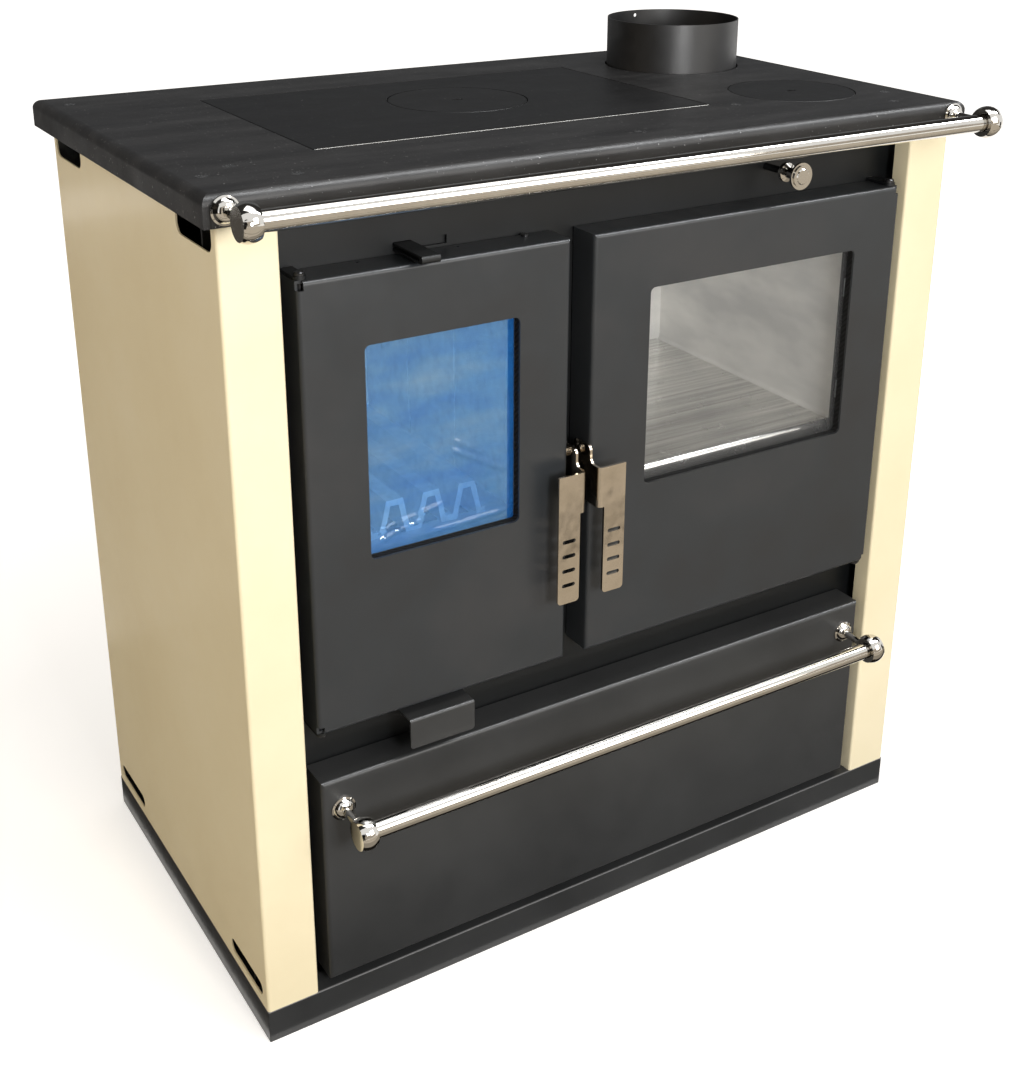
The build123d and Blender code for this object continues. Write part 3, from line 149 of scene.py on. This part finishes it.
def inside(tree, place, low, high):
    """One inside the box between two corners, nought outside."""
    middle = [(a + b) / 2 for a, b in zip(low, high)]
    half = [(b - a) / 2 for a, b in zip(low, high)]
    offset = add(tree, "ShaderNodeVectorMath", {1: middle}, {0: place}, operation="SUBTRACT")
    size = add(tree, "ShaderNodeVectorMath", links={0: offset.outputs[0]}, operation="ABSOLUTE")
    past = add(tree, "ShaderNodeVectorMath", {1: half}, {0: size.outputs[0]}, operation="SUBTRACT")
    axes = add(tree, "ShaderNodeSeparateXYZ", links={0: past.outputs[0]})
    most = add(tree, "ShaderNodeMath", links={0: axes.outputs[0], 1: axes.outputs[1]}, operation="MAXIMUM")
    most = add(tree, "ShaderNodeMath", links={0: most.outputs[0], 1: axes.outputs[2]}, operation="MAXIMUM")
    return add(tree, "ShaderNodeMath", {1: 0.0}, {0: most.outputs[0]}, operation="LESS_THAN").outputs[0]


def laid_over(tree, shader, below, mask, hex_colour):
    """Lays a colour over a shader's colour where the mask is one; returns the mixed colour."""
    mixed = add(tree, "ShaderNodeMix", {"B": linear(hex_colour)}, {"Factor": mask, "A": below},
                data_type="RGBA").outputs["Result"]
    tree.links.new(mixed, shader.inputs["Base Color"])
    return mixed


def satin_black(name, dark, middle, pale):
    """Satin stove paint: an even black with a fine powdery grain and faint clouds in its sheen."""
    return layered(name, {"Specular IOR Level": 0.5},
                   (cloud_size, None, [(0.35, dark), (0.5, middle), (0.66, pale)]),
                   (sheen_size, satin_gloss - 0.04, satin_gloss + 0.05),
                   [(powder_grain, None, 0.18, powder_depth)])


door_paint = satin_black("black_satin_stove_paint", "2B2C2E", "2D3033", "343537")[0]
# The same paint, made a shade paler and less blue on the drawer and the plinth: painted light, standing in
# for the light that falls on them less.
paler_shades = ("2F3031", "353637", "3A3B3C")
paler_paint = satin_black("black_satin_drawer", *paler_shades)[0]
# On the thick plate behind the doors: much darker and a little duller; the dark is painted shade of its
# recess under the hob.
shaded_plate_paint = finish("black_satin_plate", {"Specular IOR Level": 0.4},
                     (cloud_size, None, [(0.35, "0B0D0E"), (0.5, "0F1112"), (0.66, "141618")]),
                     (sheen_size, 0.42, 0.52), [(powder_grain, None, 0.2, powder_depth)])
paint(door_paint, "fire_door_shell", "oven_door_shell")
paint(paler_paint, "drawer_front", "badge_plate")
# On the plinth a pale grey line is painted along the upper edges of the front and the sides: a painted
# highlight where the folds would catch the light.
plinth_paint, tree, shader, ramp, place = satin_black("black_satin_plinth", *paler_shades)
(plinth_left, plinth_front, _), (plinth_right, plinth_back, plinth_top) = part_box("plinth")
plinth_highlight_low, plinth_highlight_high = plinth_top - plinth_highlight_width, plinth_top + stand_off
colour = ramp.outputs["Color"]
for low, high in (
        ((plinth_left - stand_off, plinth_front - stand_off, plinth_highlight_low),
         (plinth_right + stand_off, plinth_front + plinth_highlight_width, plinth_highlight_high)),
        ((plinth_left - stand_off, plinth_front, plinth_highlight_low),
         (plinth_left + plinth_highlight_width, plinth_back, plinth_highlight_high)),
        ((plinth_right - plinth_highlight_width, plinth_front, plinth_highlight_low),
         (plinth_right + stand_off, plinth_back, plinth_highlight_high))):
    colour = laid_over(tree, shader, colour, inside(tree, place, low, high), plinth_highlight_grey)
paint(plinth_paint, "plinth")
paint(shaded_plate_paint, "front_plate", "hinge_lugs", "soot_hatch",
      "damper_plate", "door_catch", "air_slider")

# ---------------------------------------------------------------- cream side panels
# Side panels with their front posts and rear flanges: folded sheet in semi-gloss cream enamel,
# sprayed and fired.
orange_peel = 0.0028

# Cream enamel: warm white, a glossy skin over the faint orange peel of the spray gun.
cream = finish("cream_enamel", {"Coat Weight": 0.25, "Coat Roughness": 0.12},
               (0.3, None, [(0.34, "ECDFBC"), (0.5, "F0E4C2"), (0.66, "F3E8C9")]),
               (0.02, 0.33, 0.4), [(orange_peel, None, 0.12, 0.0004)])
paint(cream, "left_side_panel", "right_side_panel")

# ---------------------------------------------------------------- hob
# Hob with its folded skirt: heavy plate with a dull heat-proof black coat, brushed on along X. The
# loose plate and the lids are rolled plate with a smoother coat, with a painted highlight along the
# plate's front and painted shade round the lids' rims and the plate's left side.
streak_width = 0.03
along_the_hob = (0.22, 1, 1)
pit_size = 0.0016
speck_size = 0.0024         # drawn coarser than real dust, so that it shows
speck_edge = 0.08           # how softly a speck's colour comes in
speck_grey = "BCBCBE"
painted_rim_shade = "020202"
shaded_rim_width = 0.0021          # painted shade at the edge of the lids and of the loose plate's left side
insert_highlight_width = 0.0007         # painted highlight along the loose plate's front edge
insert_highlight_grey = "C9C9C6"
seam_width = 0.0016         # painted shade of an open seam where the front and the side of the skirt meet; the mesh has no gap there
seam_inset = 0.006          # seam to the corner of the skirt
seam_reach = 0.004          # how far the seam goes back
seam_drop = 0.007           # where it ends under the hob's bend
seam_shade_black = "050505"


def hob_black(name, shades, gloss, pits, specks, marks):
    """Dull black coat with long streaks along the hob, small pits, pale specks where the noise is over
    a level, and marks (low corner, high corner, colour) that are painted highlights and painted shade."""
    surface, tree, shader, ramp, place = layered(
        name, {"Specular IOR Level": 0.42},
        (streak_width, along_the_hob, list(zip((0.33, 0.5, 0.68), shades))),
        (0.05, gloss - 0.06, gloss + 0.06), [(pit_size, None, pits, 0.0004)])
    dots = add(tree, "ShaderNodeTexNoise", {"Scale": 1 / speck_size, "Detail": 2.0}, {"Vector": place})
    mask = add(tree, "ShaderNodeMapRange", {"From Min": specks, "From Max": specks + speck_edge},
               {"Value": dots.outputs["Fac"]})
    colour = laid_over(tree, shader, ramp.outputs["Color"], mask.outputs["Result"], speck_grey)
    for low, high, hex_colour in marks:
        colour = laid_over(tree, shader, colour, inside(tree, place, low, high), hex_colour)
    return surface, tree, shader, colour, place


def shaded_rim(tree, place, low, high):
    """One on the painted shade round the rim of a round lid that fills the box between two corners, nought
    further in.
    """
    middle = ((low[0] + high[0]) / 2, (low[1] + high[1]) / 2, 0.0)
    level = add(tree, "ShaderNodeVectorMath", {1: (1, 1, 0)}, {0: place}, operation="MULTIPLY")
    away = add(tree, "ShaderNodeVectorMath", {1: middle}, {0: level.outputs[0]}, operation="DISTANCE")
    edge = (high[0] - low[0]) / 2 - shaded_rim_width
    return add(tree, "ShaderNodeMath", {1: edge}, {0: away.outputs["Value"]},
               operation="GREATER_THAN").outputs[0]


# Coated hob: near black with brush streaks, dust-like specks, and painted shade of an open seam at each
# front corner.
(hob_left, hob_front, hob_foot), (hob_right, _, hob_top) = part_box("hob_plate")
shaded_seams = [((x - seam_width / 2, hob_front - stand_off, hob_foot - stand_off),
          (x + seam_width / 2, hob_front + seam_reach, hob_top - seam_drop), seam_shade_black)
         for x in (hob_left + seam_inset, hob_right - seam_inset)]
paint(hob_black("dull_black_hob", ("1D1D1E", "272728", "343435"), 0.4, 0.35, 0.7, shaded_seams)[0],
      "hob_plate")
# Rolled plate: darker and smoother, so that the insert and the lids stand out; a thin bright line is
# painted along its front edge as a painted highlight, and painted shade darkens its left one.
(insert_left, insert_front, insert_foot), (insert_right, insert_back, insert_top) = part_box("insert_plate")
painted_edges = [((insert_left, insert_front - stand_off, insert_top - insert_highlight_width),
         (insert_right, insert_front + insert_highlight_width, insert_top + stand_off), insert_highlight_grey),
        ((insert_left - stand_off, insert_front, insert_foot),
         (insert_left + shaded_rim_width, insert_back, insert_top + stand_off), painted_rim_shade)]
paint(hob_black("rolled_black_insert", ("08080A", "0B0B0C", "111112"), 0.42, 0.14, 0.73, painted_edges)[0],
      "insert_plate")
# The lids are of the same plate, with painted shade round their rims.
for lid in ("insert_lid", "hob_lid"):
    surface, tree, shader, colour, place = hob_black(f"rolled_black_{lid}", ("0A0A0B", "0E0E0F", "151516"),
                                                     0.42, 0.15, 0.73, [])
    laid_over(tree, shader, colour, shaded_rim(tree, place, *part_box(lid)), painted_rim_shade)
    paint(surface, lid)
# Rolled flue collar: the same black with a soft sheen round its barrel.
paint(finish("black_flue_collar", {"Specular IOR Level": 0.9},
             (0.12, None, [(0.35, "0B0B0C"), (0.5, "0F0F10"), (0.66, "141415")]),
             (0.02, 0.38, 0.46), [(0.0012, None, 0.15, 0.0003)]), "flue_collar")

# ---------------------------------------------------------------- screws and sheet that stays bare
# Screws and hinge pins of blackened steel, those in the hob flecked with painted glints, zinc-plated
# screws in the rear panel and the soot hatch, and galvanised rear panel, runners and clips that are never
# painted.
# Blackened steel: near black with an oily gleam, so that rims and recesses glint.
blackened = finish("blackened_steel", {"Metallic": 0.85},
                   (0.004, None, [(0.35, "3A3A3B"), (0.65, "565657")]),
                   (0.003, 0.22, 0.36), [(0.0012, None, 0.3, 0.0002)])
# Bright zinc: pale grey metal with fine cloudy spangles.
zinc = finish("bright_zinc", {"Metallic": 1.0}, (0.003, None, [(0.35, "B8BABC"), (0.65, "D6D8DA")]),
              (0.006, 0.24, 0.38), [(0.0008, None, 0.1, 0.0001)])
# Galvanised sheet: duller, with spangles a centimetre across.
spangle = 0.012
galvanised = finish("galvanised_sheet", {"Metallic": 1.0},
                    (spangle, None, [(0.35, "8E9396"), (0.65, "A9AEB1")]),
                    (2 * spangle, 0.36, 0.5), [(0.003, None, 0.1, 0.0001)])
# Blackened steel with bright flecks on the rims of the hob's screws: painted glints.
glinting_screw_steel = finish("rubbed_steel", {"Metallic": 0.9},
                (0.0025, None, [(0.42, "2A2A2B"), (0.6, "A8A8A9")]),
                (0.003, 0.2, 0.34), [(0.0015, None, 0.4, 0.0003)])
paint(glinting_screw_steel, "hob_screws")
paint(blackened, "hinge_pins", "fire_door_screws", "oven_door_screws")
paint(zinc, "rear_screws", "soot_hatch_screws")
paint(galvanised, "rear_panel", "drawer_runners", "drawer_slides", "fire_glass_clips", "oven_glass_clips")

# ---------------------------------------------------------------- rails
# Towel rails of the hob and the drawer: polished tube with turned end balls and rosettes, all chrome
# plated; the knob of the damper matches them.
wiping_mark = 0.0006        # drawn coarser than the real hair lines, so that it shows

# Chrome plate: a mirror with a trace of warmth and faint wiping marks along the tube.
chrome = finish("chrome_plate", {"Metallic": 1.0}, (0.05, None, [(0.35, "D4D0C9"), (0.65, "DFDCD6")]),
                (0.01, 0.05, 0.1), [(wiping_mark, (0.15, 1, 1), 0.03, 0.0001)])
paint(chrome, "top_rail_tube", "top_rail_ends", "top_rail_posts", "drawer_rail_tube",
      "drawer_rail_ends", "drawer_rail_posts", "damper_knob")

# ---------------------------------------------------------------- handles
# Door handles: laser-cut and folded steel, edges eased by hand, polished and nickel plated; each
# turns on a plated pivot. The eased edges are cut here on copies of the plain handles.
eased_edge = 0.0005
sharp_fold = math.radians(33)
flat_fold = math.radians(0.5)
same_point = 1e-6
polish_wave = 0.03

# Nickel plate: a warm mirror whose hand-polished waves bend what it reflects.
nickel = finish("polished_nickel", {"Metallic": 1.0}, (0.04, None, [(0.35, "CDC2B1"), (0.65, "DACFC0")]),
                (0.008, 0.1, 0.17),
                [(polish_wave, (1, 1, 0.6), 0.35, 0.003), (0.0007, None, 0.04, 0.0001)])


def in_the_scene(name, data):
    """A new object, linked to the scene."""
    thing = bpy.data.objects.new(name, data)
    bpy.context.scene.collection.objects.link(thing)
    return thing


def eased_copy(name, body):
    """A copy of a node with its sharp edges chamfered, standing in for the node."""
    work = bmesh.new()
    work.from_mesh(nodes[name].data)
    bmesh.ops.remove_doubles(work, verts=work.verts, dist=same_point)
    bmesh.ops.dissolve_limit(work, angle_limit=flat_fold, verts=work.verts, edges=work.edges)
    corners = [edge for edge in work.edges if len(edge.link_faces) == 2
               and edge.calc_face_angle() > sharp_fold]
    bmesh.ops.bevel(work, geom=corners, offset=eased_edge, segments=1, affect="EDGES", clamp_overlap=True)
    mesh = bpy.data.meshes.new(name + "_eased")
    work.to_mesh(mesh)
    work.free()
    mesh.shade_smooth()
    mesh.set_sharp_from_angle(angle=sharp_fold)
    mesh.materials.append(nickel)
    piece = in_the_scene(name + "_eased", mesh)
    flats = piece.modifiers.new("flats_stay_flat", "WEIGHTED_NORMAL")
    flats.weight = 100
    flats.keep_sharp = True
    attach(piece, body)
    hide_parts(name)


paint(nickel, "fire_handle_pivot", "oven_handle_pivot")
eased_copy("fire_handle", "fire_door_handle")
eased_copy("oven_handle", "oven_door_handle")

# ---------------------------------------------------------------- inner body
# Welded casing, drawer bay, smoke baffles, door liners and the rest of the hidden sheet, with the
# drawer's box and the ash pan: dark steel with a sprayed primer.
# Primed sheet: flat dark grey with brownish clouds from the weld's heat.
dark_steel = finish("primed_dark_steel", {"Specular IOR Level": 0.3},
                    (0.12, None, [(0.3, "262422"), (0.5, "2B2A29"), (0.7, "323130")]),
                    (0.04, 0.6, 0.75), [(0.002, None, 0.15, 0.0003)])
paint(dark_steel, "inner_casing", "drawer_bay", "smoke_baffles", "air_duct", "fire_door_liner",
      "oven_door_liner", "drawer_box", "ash_pan")

# ---------------------------------------------------------------- fire
# Cast floor plate and ribbed grate, lying loose, and pressed firebricks standing round the fire.
shot_mark = 0.0015
brick_fleck = 0.02
brick_grit = 0.002

# New cast iron: light grey shot-blasted skin, coarse and faintly metallic.
iron = finish("blasted_cast_iron", {"Metallic": 0.3, "Specular IOR Level": 0.45},
              (0.01, None, [(0.3, "8D9194"), (0.5, "A0A4A7"), (0.7, "B2B6B9")]),
              (0.01, 0.42, 0.6), [(shot_mark, None, 0.5, 0.0005)])
# Firebrick: pale buff and gritty, with soft darker flecks.
brick = finish("buff_firebrick", {"Specular IOR Level": 0.15},
               (brick_fleck, None, [(0.3, "A6987E"), (0.42, "CFC2A6"), (0.58, "E3D8BE"), (0.75, "F4EBD6")]),
               (0.01, 0.85, 0.95), [(0.008, None, 0.5, 0.001), (brick_grit, None, 0.5, 0.0006)])
paint(iron, "firebox_floor", "grate")
paint(brick, "firebricks")

# ---------------------------------------------------------------- oven
# Oven box folded and welded from aluminised sheet, with a loose floor plate of brushed stainless
# steel rolled round at its front edge.
brush_line = 0.006          # drawn coarser than the real brush lines, so that it shows
along_x = (0.02, 1, 1)

# Aluminised sheet: bright grey metal that blurs what stands in front of it, drawn paler than it is as
# painted light for an inside that the lamps hardly reach.
aluminised = finish("aluminised_oven_sheet", {"Metallic": 0.15, "Specular IOR Level": 0.5},
                    (0.2, (1, 1, 2.5), [(0.34, "CFCFCD"), (0.5, "E8E7E3"), (0.66, "F8F6F1")]),
                    (0.06, 0.34, 0.42), [(0.1, None, 0.1, 0.002)])
# Stainless floor: bright, with brush lines along X.
stainless = finish("brushed_stainless", {"Metallic": 0.9},
                   (brush_line, along_x, [(0.3, "B4B3B0"), (0.5, "D8D7D4"), (0.7, "F4F3F0")]),
                   (0.02, 0.16, 0.3), [(0.05, None, 0.1, 0.002)])
paint(aluminised, "oven_box")
paint(stainless, "oven_floor_plate")

# ---------------------------------------------------------------- seals
# Sealing ropes behind the doors and gasket tapes under the panes: graphited braided glass fibre, laid
# in their grooves with paste.
plait_scale = 110.0         # wave texture scale of plaits 2.9 mm wide
plait_depth = 0.0008


def braid(name, low, high):
    """Braided rope: diagonal plaits that show in colour and relief."""
    surface, tree, shader, ramp, place = layered(
        name, {"Specular IOR Level": 0.2}, (0.01, None, [(0.2, low), (0.8, high)]), (0.01, 0.8, 0.95),
        [(0.001, None, 0.3, 0.0003)])
    wave = add(tree, "ShaderNodeTexWave", {"Scale": plait_scale, "Distortion": 1.2, "Detail": 2.0},
               {"Vector": place}, wave_type="BANDS", bands_direction="DIAGONAL")
    tree.links.new(wave.outputs["Fac"], ramp.inputs["Fac"])
    bump = add(tree, "ShaderNodeBump", {"Strength": 0.7, "Distance": plait_depth},
               {"Height": wave.outputs["Fac"]})
    tree.links.new(bump.outputs["Normal"], shader.inputs["Normal"])
    return surface


# Graphited rope: dark grey plaits; the tape under the panes is nearly black.
paint(braid("graphite_rope", "1E1E1E", "4A4A4A"), "fire_door_rope", "oven_door_rope")
paint(braid("black_gasket_tape", "101010", "202020"), "fire_glass_gasket", "oven_glass_gasket")

# ---------------------------------------------------------------- panes
# Ceramic panes of both doors, clamped from behind, and the blue protective film that still clings
# to the fire door's pane, creased towards its lower edge.
(film_left, film_face, film_low), (film_right, _, film_high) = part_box("fire_glass_film")
film_width, film_length = film_right - film_left, film_high - film_low
film_columns, film_rows = 80, 104
blisters_across, blisters_up = 5.0, 6.0
blister_height = 0.0012
fold_height = 0.003
fold_waver = 0.006          # how far a fold strays from its line, as a share of the film
waver_count = 4.0           # wavers to a blister
fold_rise = 6               # a fold reaches its full height within a sixth of its length
edge_rise = 20              # the film leaves the glass within a twentieth of its width
doubled_width = 0.007       # strip at the right where the film lies double
# Each fold: its two ends, across and up as shares of the film, and its half width.
folds = [((0.0, 0.09), (0.55, 0.17), 0.011), ((0.05, 0.05), (0.4, 0.12), 0.008),
         ((0.52, 0.44), (0.95, 0.25), 0.012), ((0.56, 0.47), (0.8, 0.36), 0.008),
         ((0.3, 0.03), (0.96, 0.05), 0.009)]

# Ceramic glass: clear, faintly grey, with a mirror skin.
pane = finish("ceramic_pane", {"Alpha": 0.09, "IOR": 1.54},
              (0.08, None, [(0.3, "8A8B8C"), (0.7, "979899")]), (0.05, 0.02, 0.05),
              [(0.06, None, 0.05, 0.0005)])
paint(pane, "fire_glass", "oven_glass")
# Blue film: polyethylene that tints what is behind it, milky in lengthways clouds, with a shine that
# catches on its folds. It is so thin that it hardly bends light, so its IOR is close to one.
film_blue, tree, shader, ramp, place = layered(
    "blue_protective_film", {"Transmission Weight": 0.75, "IOR": 1.03, "Coat Weight": 0.9},
    (0.04, (0.4, 1.0, 1.6), [(0.3, "5AA4FF"), (0.5, "72B8FF"), (0.75, "98CEFF")]), (0.03, 0.0, 0.04),
    [(0.012, None, 0.15, 0.001)])
doubled = inside(tree, place, (film_right - doubled_width, -1.0, 0.0), (film_right + stand_off, 0.0, 1.0))
laid_over(tree, shader, ramp.outputs["Color"], doubled, "2A84EA")


def film_height(across, up):
    """How far the film stands off the glass: soft blisters, and sharp folds along their lines."""
    spot = Vector((across * blisters_across, 0.0, up * blisters_up))
    height = blister_height * max(0.0, noise.fractal(spot, 1.0, 2.0, 3))
    for (x0, z0), (x1, z1), width in folds:
        run, rise = x1 - x0, z1 - z0
        along = ((across - x0) * run + (up - z0) * rise) / (run * run + rise * rise)
        off = math.hypot(across - x0 - along * run, up - z0 - along * rise)
        off += fold_waver * noise.noise(spot * waver_count)
        fade = max(0.0, min(1.0, fold_rise * along, fold_rise * (1 - along)))
        height += fold_height * fade * math.exp(-(off / width) ** 2)
    return height * min(1.0, edge_rise * across, edge_rise * (1 - across),
                        edge_rise * (1 - up), edge_rise * up)


def make_film():
    """The film as a creased sheet over the pane, standing in for the flat one."""
    points = []
    for j in range(film_rows + 1):
        for i in range(film_columns + 1):
            across, up = i / film_columns, j / film_rows
            points.append((film_left + film_width * across,
                           film_face - min(2 * fold_height, film_height(across, up)),
                           film_low + film_length * up))
    row = film_columns + 1
    faces = [(j * row + i, j * row + i + 1, (j + 1) * row + i + 1, (j + 1) * row + i)
             for j in range(film_rows) for i in range(film_columns)]
    mesh = bpy.data.meshes.new("creased_film")
    mesh.from_pydata(points, [], faces)
    mesh.shade_smooth()
    mesh.materials.append(film_blue)
    piece = in_the_scene("creased_film", mesh)
    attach(piece, "fire_door")
    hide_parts("fire_glass_film")


make_film()
# Clear panes and film throw no shadow, so that the light reaches the fire and the oven.
for name in ("fire_glass", "oven_glass", "creased_film"):
    bpy.data.objects[name].visible_shadow = False

# ---------------------------------------------------------------- studio
# Pale floor and white surroundings, a large soft key on the right in front of the stove, a weaker
# warm fill on the left, soft light from above and by the camera, and cards that only mirrors see.
floor_half = 12.0
seen_lift = 0.5             # what the camera and mirrors see the floor lifted by, towards white
seen_lift_far = 0.9         # the same far from the stove, where no shadow falls
lift_from, lift_to = 0.7, 1.8     # from the middle of the stove: where the lift starts and stops growing
low_card = 0.004            # height of the cards that lie on the floor
upper_card = 0.006          # and of those that lie on them
ceiling = 3.4


def seen(tree):
    """One where the camera, a mirror or glass looks, nought where light spreads."""
    path = add(tree, "ShaderNodeLightPath")
    either = add(tree, "ShaderNodeMath",
                 links={0: path.outputs["Is Camera Ray"], 1: path.outputs["Is Glossy Ray"]},
                 operation="MAXIMUM")
    return add(tree, "ShaderNodeMath", links={0: either.outputs[0], 1: path.outputs["Is Transmission Ray"]},
               operation="MAXIMUM").outputs[0]


def card(name, corners, surface):
    """A flat card in the studio; returns its object."""
    mesh = bpy.data.meshes.new(name)
    mesh.from_pydata(corners, [], [(0, 1, 2, 3)])
    mesh.materials.append(surface)
    flat = in_the_scene(name, mesh)
    return flat


def lying(x0, y0, x1, y1, height):
    """Corners of a level card."""
    return [(x0, y0, height), (x1, y0, height), (x1, y1, height), (x0, y1, height)]


def standing(x0, y0, x1, y1, foot, head):
    """Corners of an upright card that runs from one point on the floor to another."""
    return [(x0, y0, foot), (x1, y1, foot), (x1, y1, head), (x0, y0, head)]


def make_floor():
    """Pale floor that shows white and keeps the stove's shadow."""
    surface, tree, shader, ramp, place = layered(
        "studio_floor_paint", {"Specular IOR Level": 0.1}, (0.5, None, [(0.3, "E9E8E6"), (0.7, "EFEEEC")]),
        (0.3, 0.88, 0.94), [(0.01, None, 0.05, 0.0005)])
    away = add(tree, "ShaderNodeVectorMath", links={0: place}, operation="LENGTH")
    lift = add(tree, "ShaderNodeMapRange", {"From Min": lift_from, "From Max": lift_to, "To Min": seen_lift,
                                            "To Max": seen_lift_far}, {"Value": away.outputs["Value"]})
    glow = add(tree, "ShaderNodeEmission", {"Color": linear("FFFFFF")}, {"Strength": lift.outputs["Result"]})
    lifted = add(tree, "ShaderNodeAddShader", links={0: shader.outputs[0], 1: glow.outputs[0]})
    mix = add(tree, "ShaderNodeMixShader", links={0: seen(tree), 1: shader.outputs[0], 2: lifted.outputs[0]})
    output = next(node for node in tree.nodes if node.type == "OUTPUT_MATERIAL")
    tree.links.new(mix.outputs[0], output.inputs["Surface"])
    floor_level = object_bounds()[0][2]
    card("studio_floor", lying(-floor_half, -floor_half, floor_half, floor_half, floor_level), surface)


def make_cards():
    """Glowing cards that only mirrors see: each gives one band of a reflection its tone."""
    for name, hex_colour, strength, corners in (
            # The floor before the stove, bright far off and dark at its foot.
            ("warm_card", "D0C5B4", 0.95, lying(-3.2, -7.0, 3.2, -0.75, low_card)),
            ("middle_card", "A79E90", 0.9, lying(-3.2, -0.75, 3.2, -0.4, low_card)),
            ("near_card", "24211E", 0.8, lying(-3.2, -0.4, 3.2, -0.23, low_card)),
            # A dark slanting line across it, for the streak in the handles.
            ("floor_line", "2A2622", 0.7, [(-1.2, -1.13, upper_card), (2.2, -1.02, upper_card),
                                           (2.2, -0.98, upper_card), (-1.2, -1.08, upper_card)]),
            # The floor at the left, and walls and a ceiling round the room.
            ("left_foot_card", "1C1B1A", 0.8, lying(-0.8, -0.23, -0.41, 0.6, upper_card)),
            ("grey_card", "57534E", 0.9, lying(-2.6, -0.23, -0.5, 3.0, low_card)),
            ("left_card", "1C1A18", 0.7, standing(-2.6, -1.9, -2.6, 3.0, 0.0, ceiling)),
            ("back_card", "646566", 1.0, standing(-2.6, 3.0, 8.0, 3.0, 0.1, ceiling)),
            ("front_card", "BDB3A5", 0.9, standing(-3.2, -7.0, 8.0, -7.0, 0.1, ceiling)),
            ("ceiling_card", "343332", 1.0, lying(-3.2, -1.2, 8.0, 3.0, ceiling)),
            # A bright skylight for the folds, and dark strips for the edges of the chrome.
            ("sky_card", "F2F4F6", 22.0, lying(0.2, -1.2, 3.6, -0.6, 3.2)),
            ("right_card", "1A1918", 0.7, standing(2.6, -1.5, 2.6, -0.7, 0.0, 0.8)),
            ("camera_card", "242220", 0.7, standing(-1.75, -2.2, -1.15, -2.5, 0.0, 1.75))):
        surface = bpy.data.materials.new(name)
        tree = bare_tree(surface)
        glow = add(tree, "ShaderNodeEmission", {"Color": linear(hex_colour), "Strength": strength})
        add(tree, "ShaderNodeOutputMaterial", links={"Surface": glow.outputs[0]})
        flat = card(name, corners, surface)
        for ray in ("camera", "diffuse", "shadow", "transmission", "volume_scatter"):
            setattr(flat, "visible_" + ray, False)


def make_world():
    """White where the camera or a reflection sees it, and a plain weaker light elsewhere."""
    world = bpy.data.worlds.new("studio")
    bpy.context.scene.world = world
    tree = bare_tree(world)
    dim = add(tree, "ShaderNodeBackground", {"Color": linear("FFF6E8"), "Strength": 0.32})
    white = add(tree, "ShaderNodeBackground", {"Color": linear("FFFFFF"), "Strength": 1.0})
    mix = add(tree, "ShaderNodeMixShader", links={0: seen(tree), 1: dim.outputs[0], 2: white.outputs[0]})
    add(tree, "ShaderNodeOutputWorld", links={"Surface": mix.outputs[0]})


def lamp(name, place, target, size, watts, hex_colour):
    """A square soft lamp aimed at a point."""
    data = bpy.data.lights.new(name, "AREA")
    data.shape = "SQUARE"
    data.size = size
    data.energy = watts
    data.color = linear(hex_colour)[:3]
    light = in_the_scene(name, data)
    light.location = place
    light.rotation_euler = (Vector(target) - Vector(place)).to_track_quat("-Z", "Y").to_euler()


make_floor()
make_cards()
make_world()
stove_middle = (0.0, 0.0, 0.45)
pane_middle = (0.0, 0.0, 0.6)
lamp("key", (1.4, -3.1, 1.9), stove_middle, 1.8, 44.0, "FFFCF8")
lamp("fill", (-3.4, -0.2, 2.2), stove_middle, 1.6, 32.0, "FFEED6")
lamp("top", (0.2, -0.2, 3.0), stove_middle, 1.6, 20.0, "FFFFFF")
lamp("by_the_camera", (-0.3, -1.7, 1.0), pane_middle, 0.35, 15.0, "FFFFFF")

# ---------------------------------------------------------------- camera
# Above and to the left of the stove, looking down at its front: lens, place and turn were fitted to
# the corners of the stove in the photograph.
lens_data = bpy.data.cameras.new("camera")
lens_data.lens = 49.98
lens_data.sensor_width = 36.0
lens_data.shift_x = -0.01274
lens_data.shift_y = -0.14262
lens_data.clip_end = 60.0
camera = in_the_scene("camera", lens_data)
camera.location = (-0.8102479, -1.33446241, 1.12854111)
camera.rotation_euler = [math.radians(angle) for angle in (69.11226811, -0.45260848, -32.09038223)]
bpy.context.scene.camera = camera
bpy.context.scene.view_settings.view_transform = "Standard"
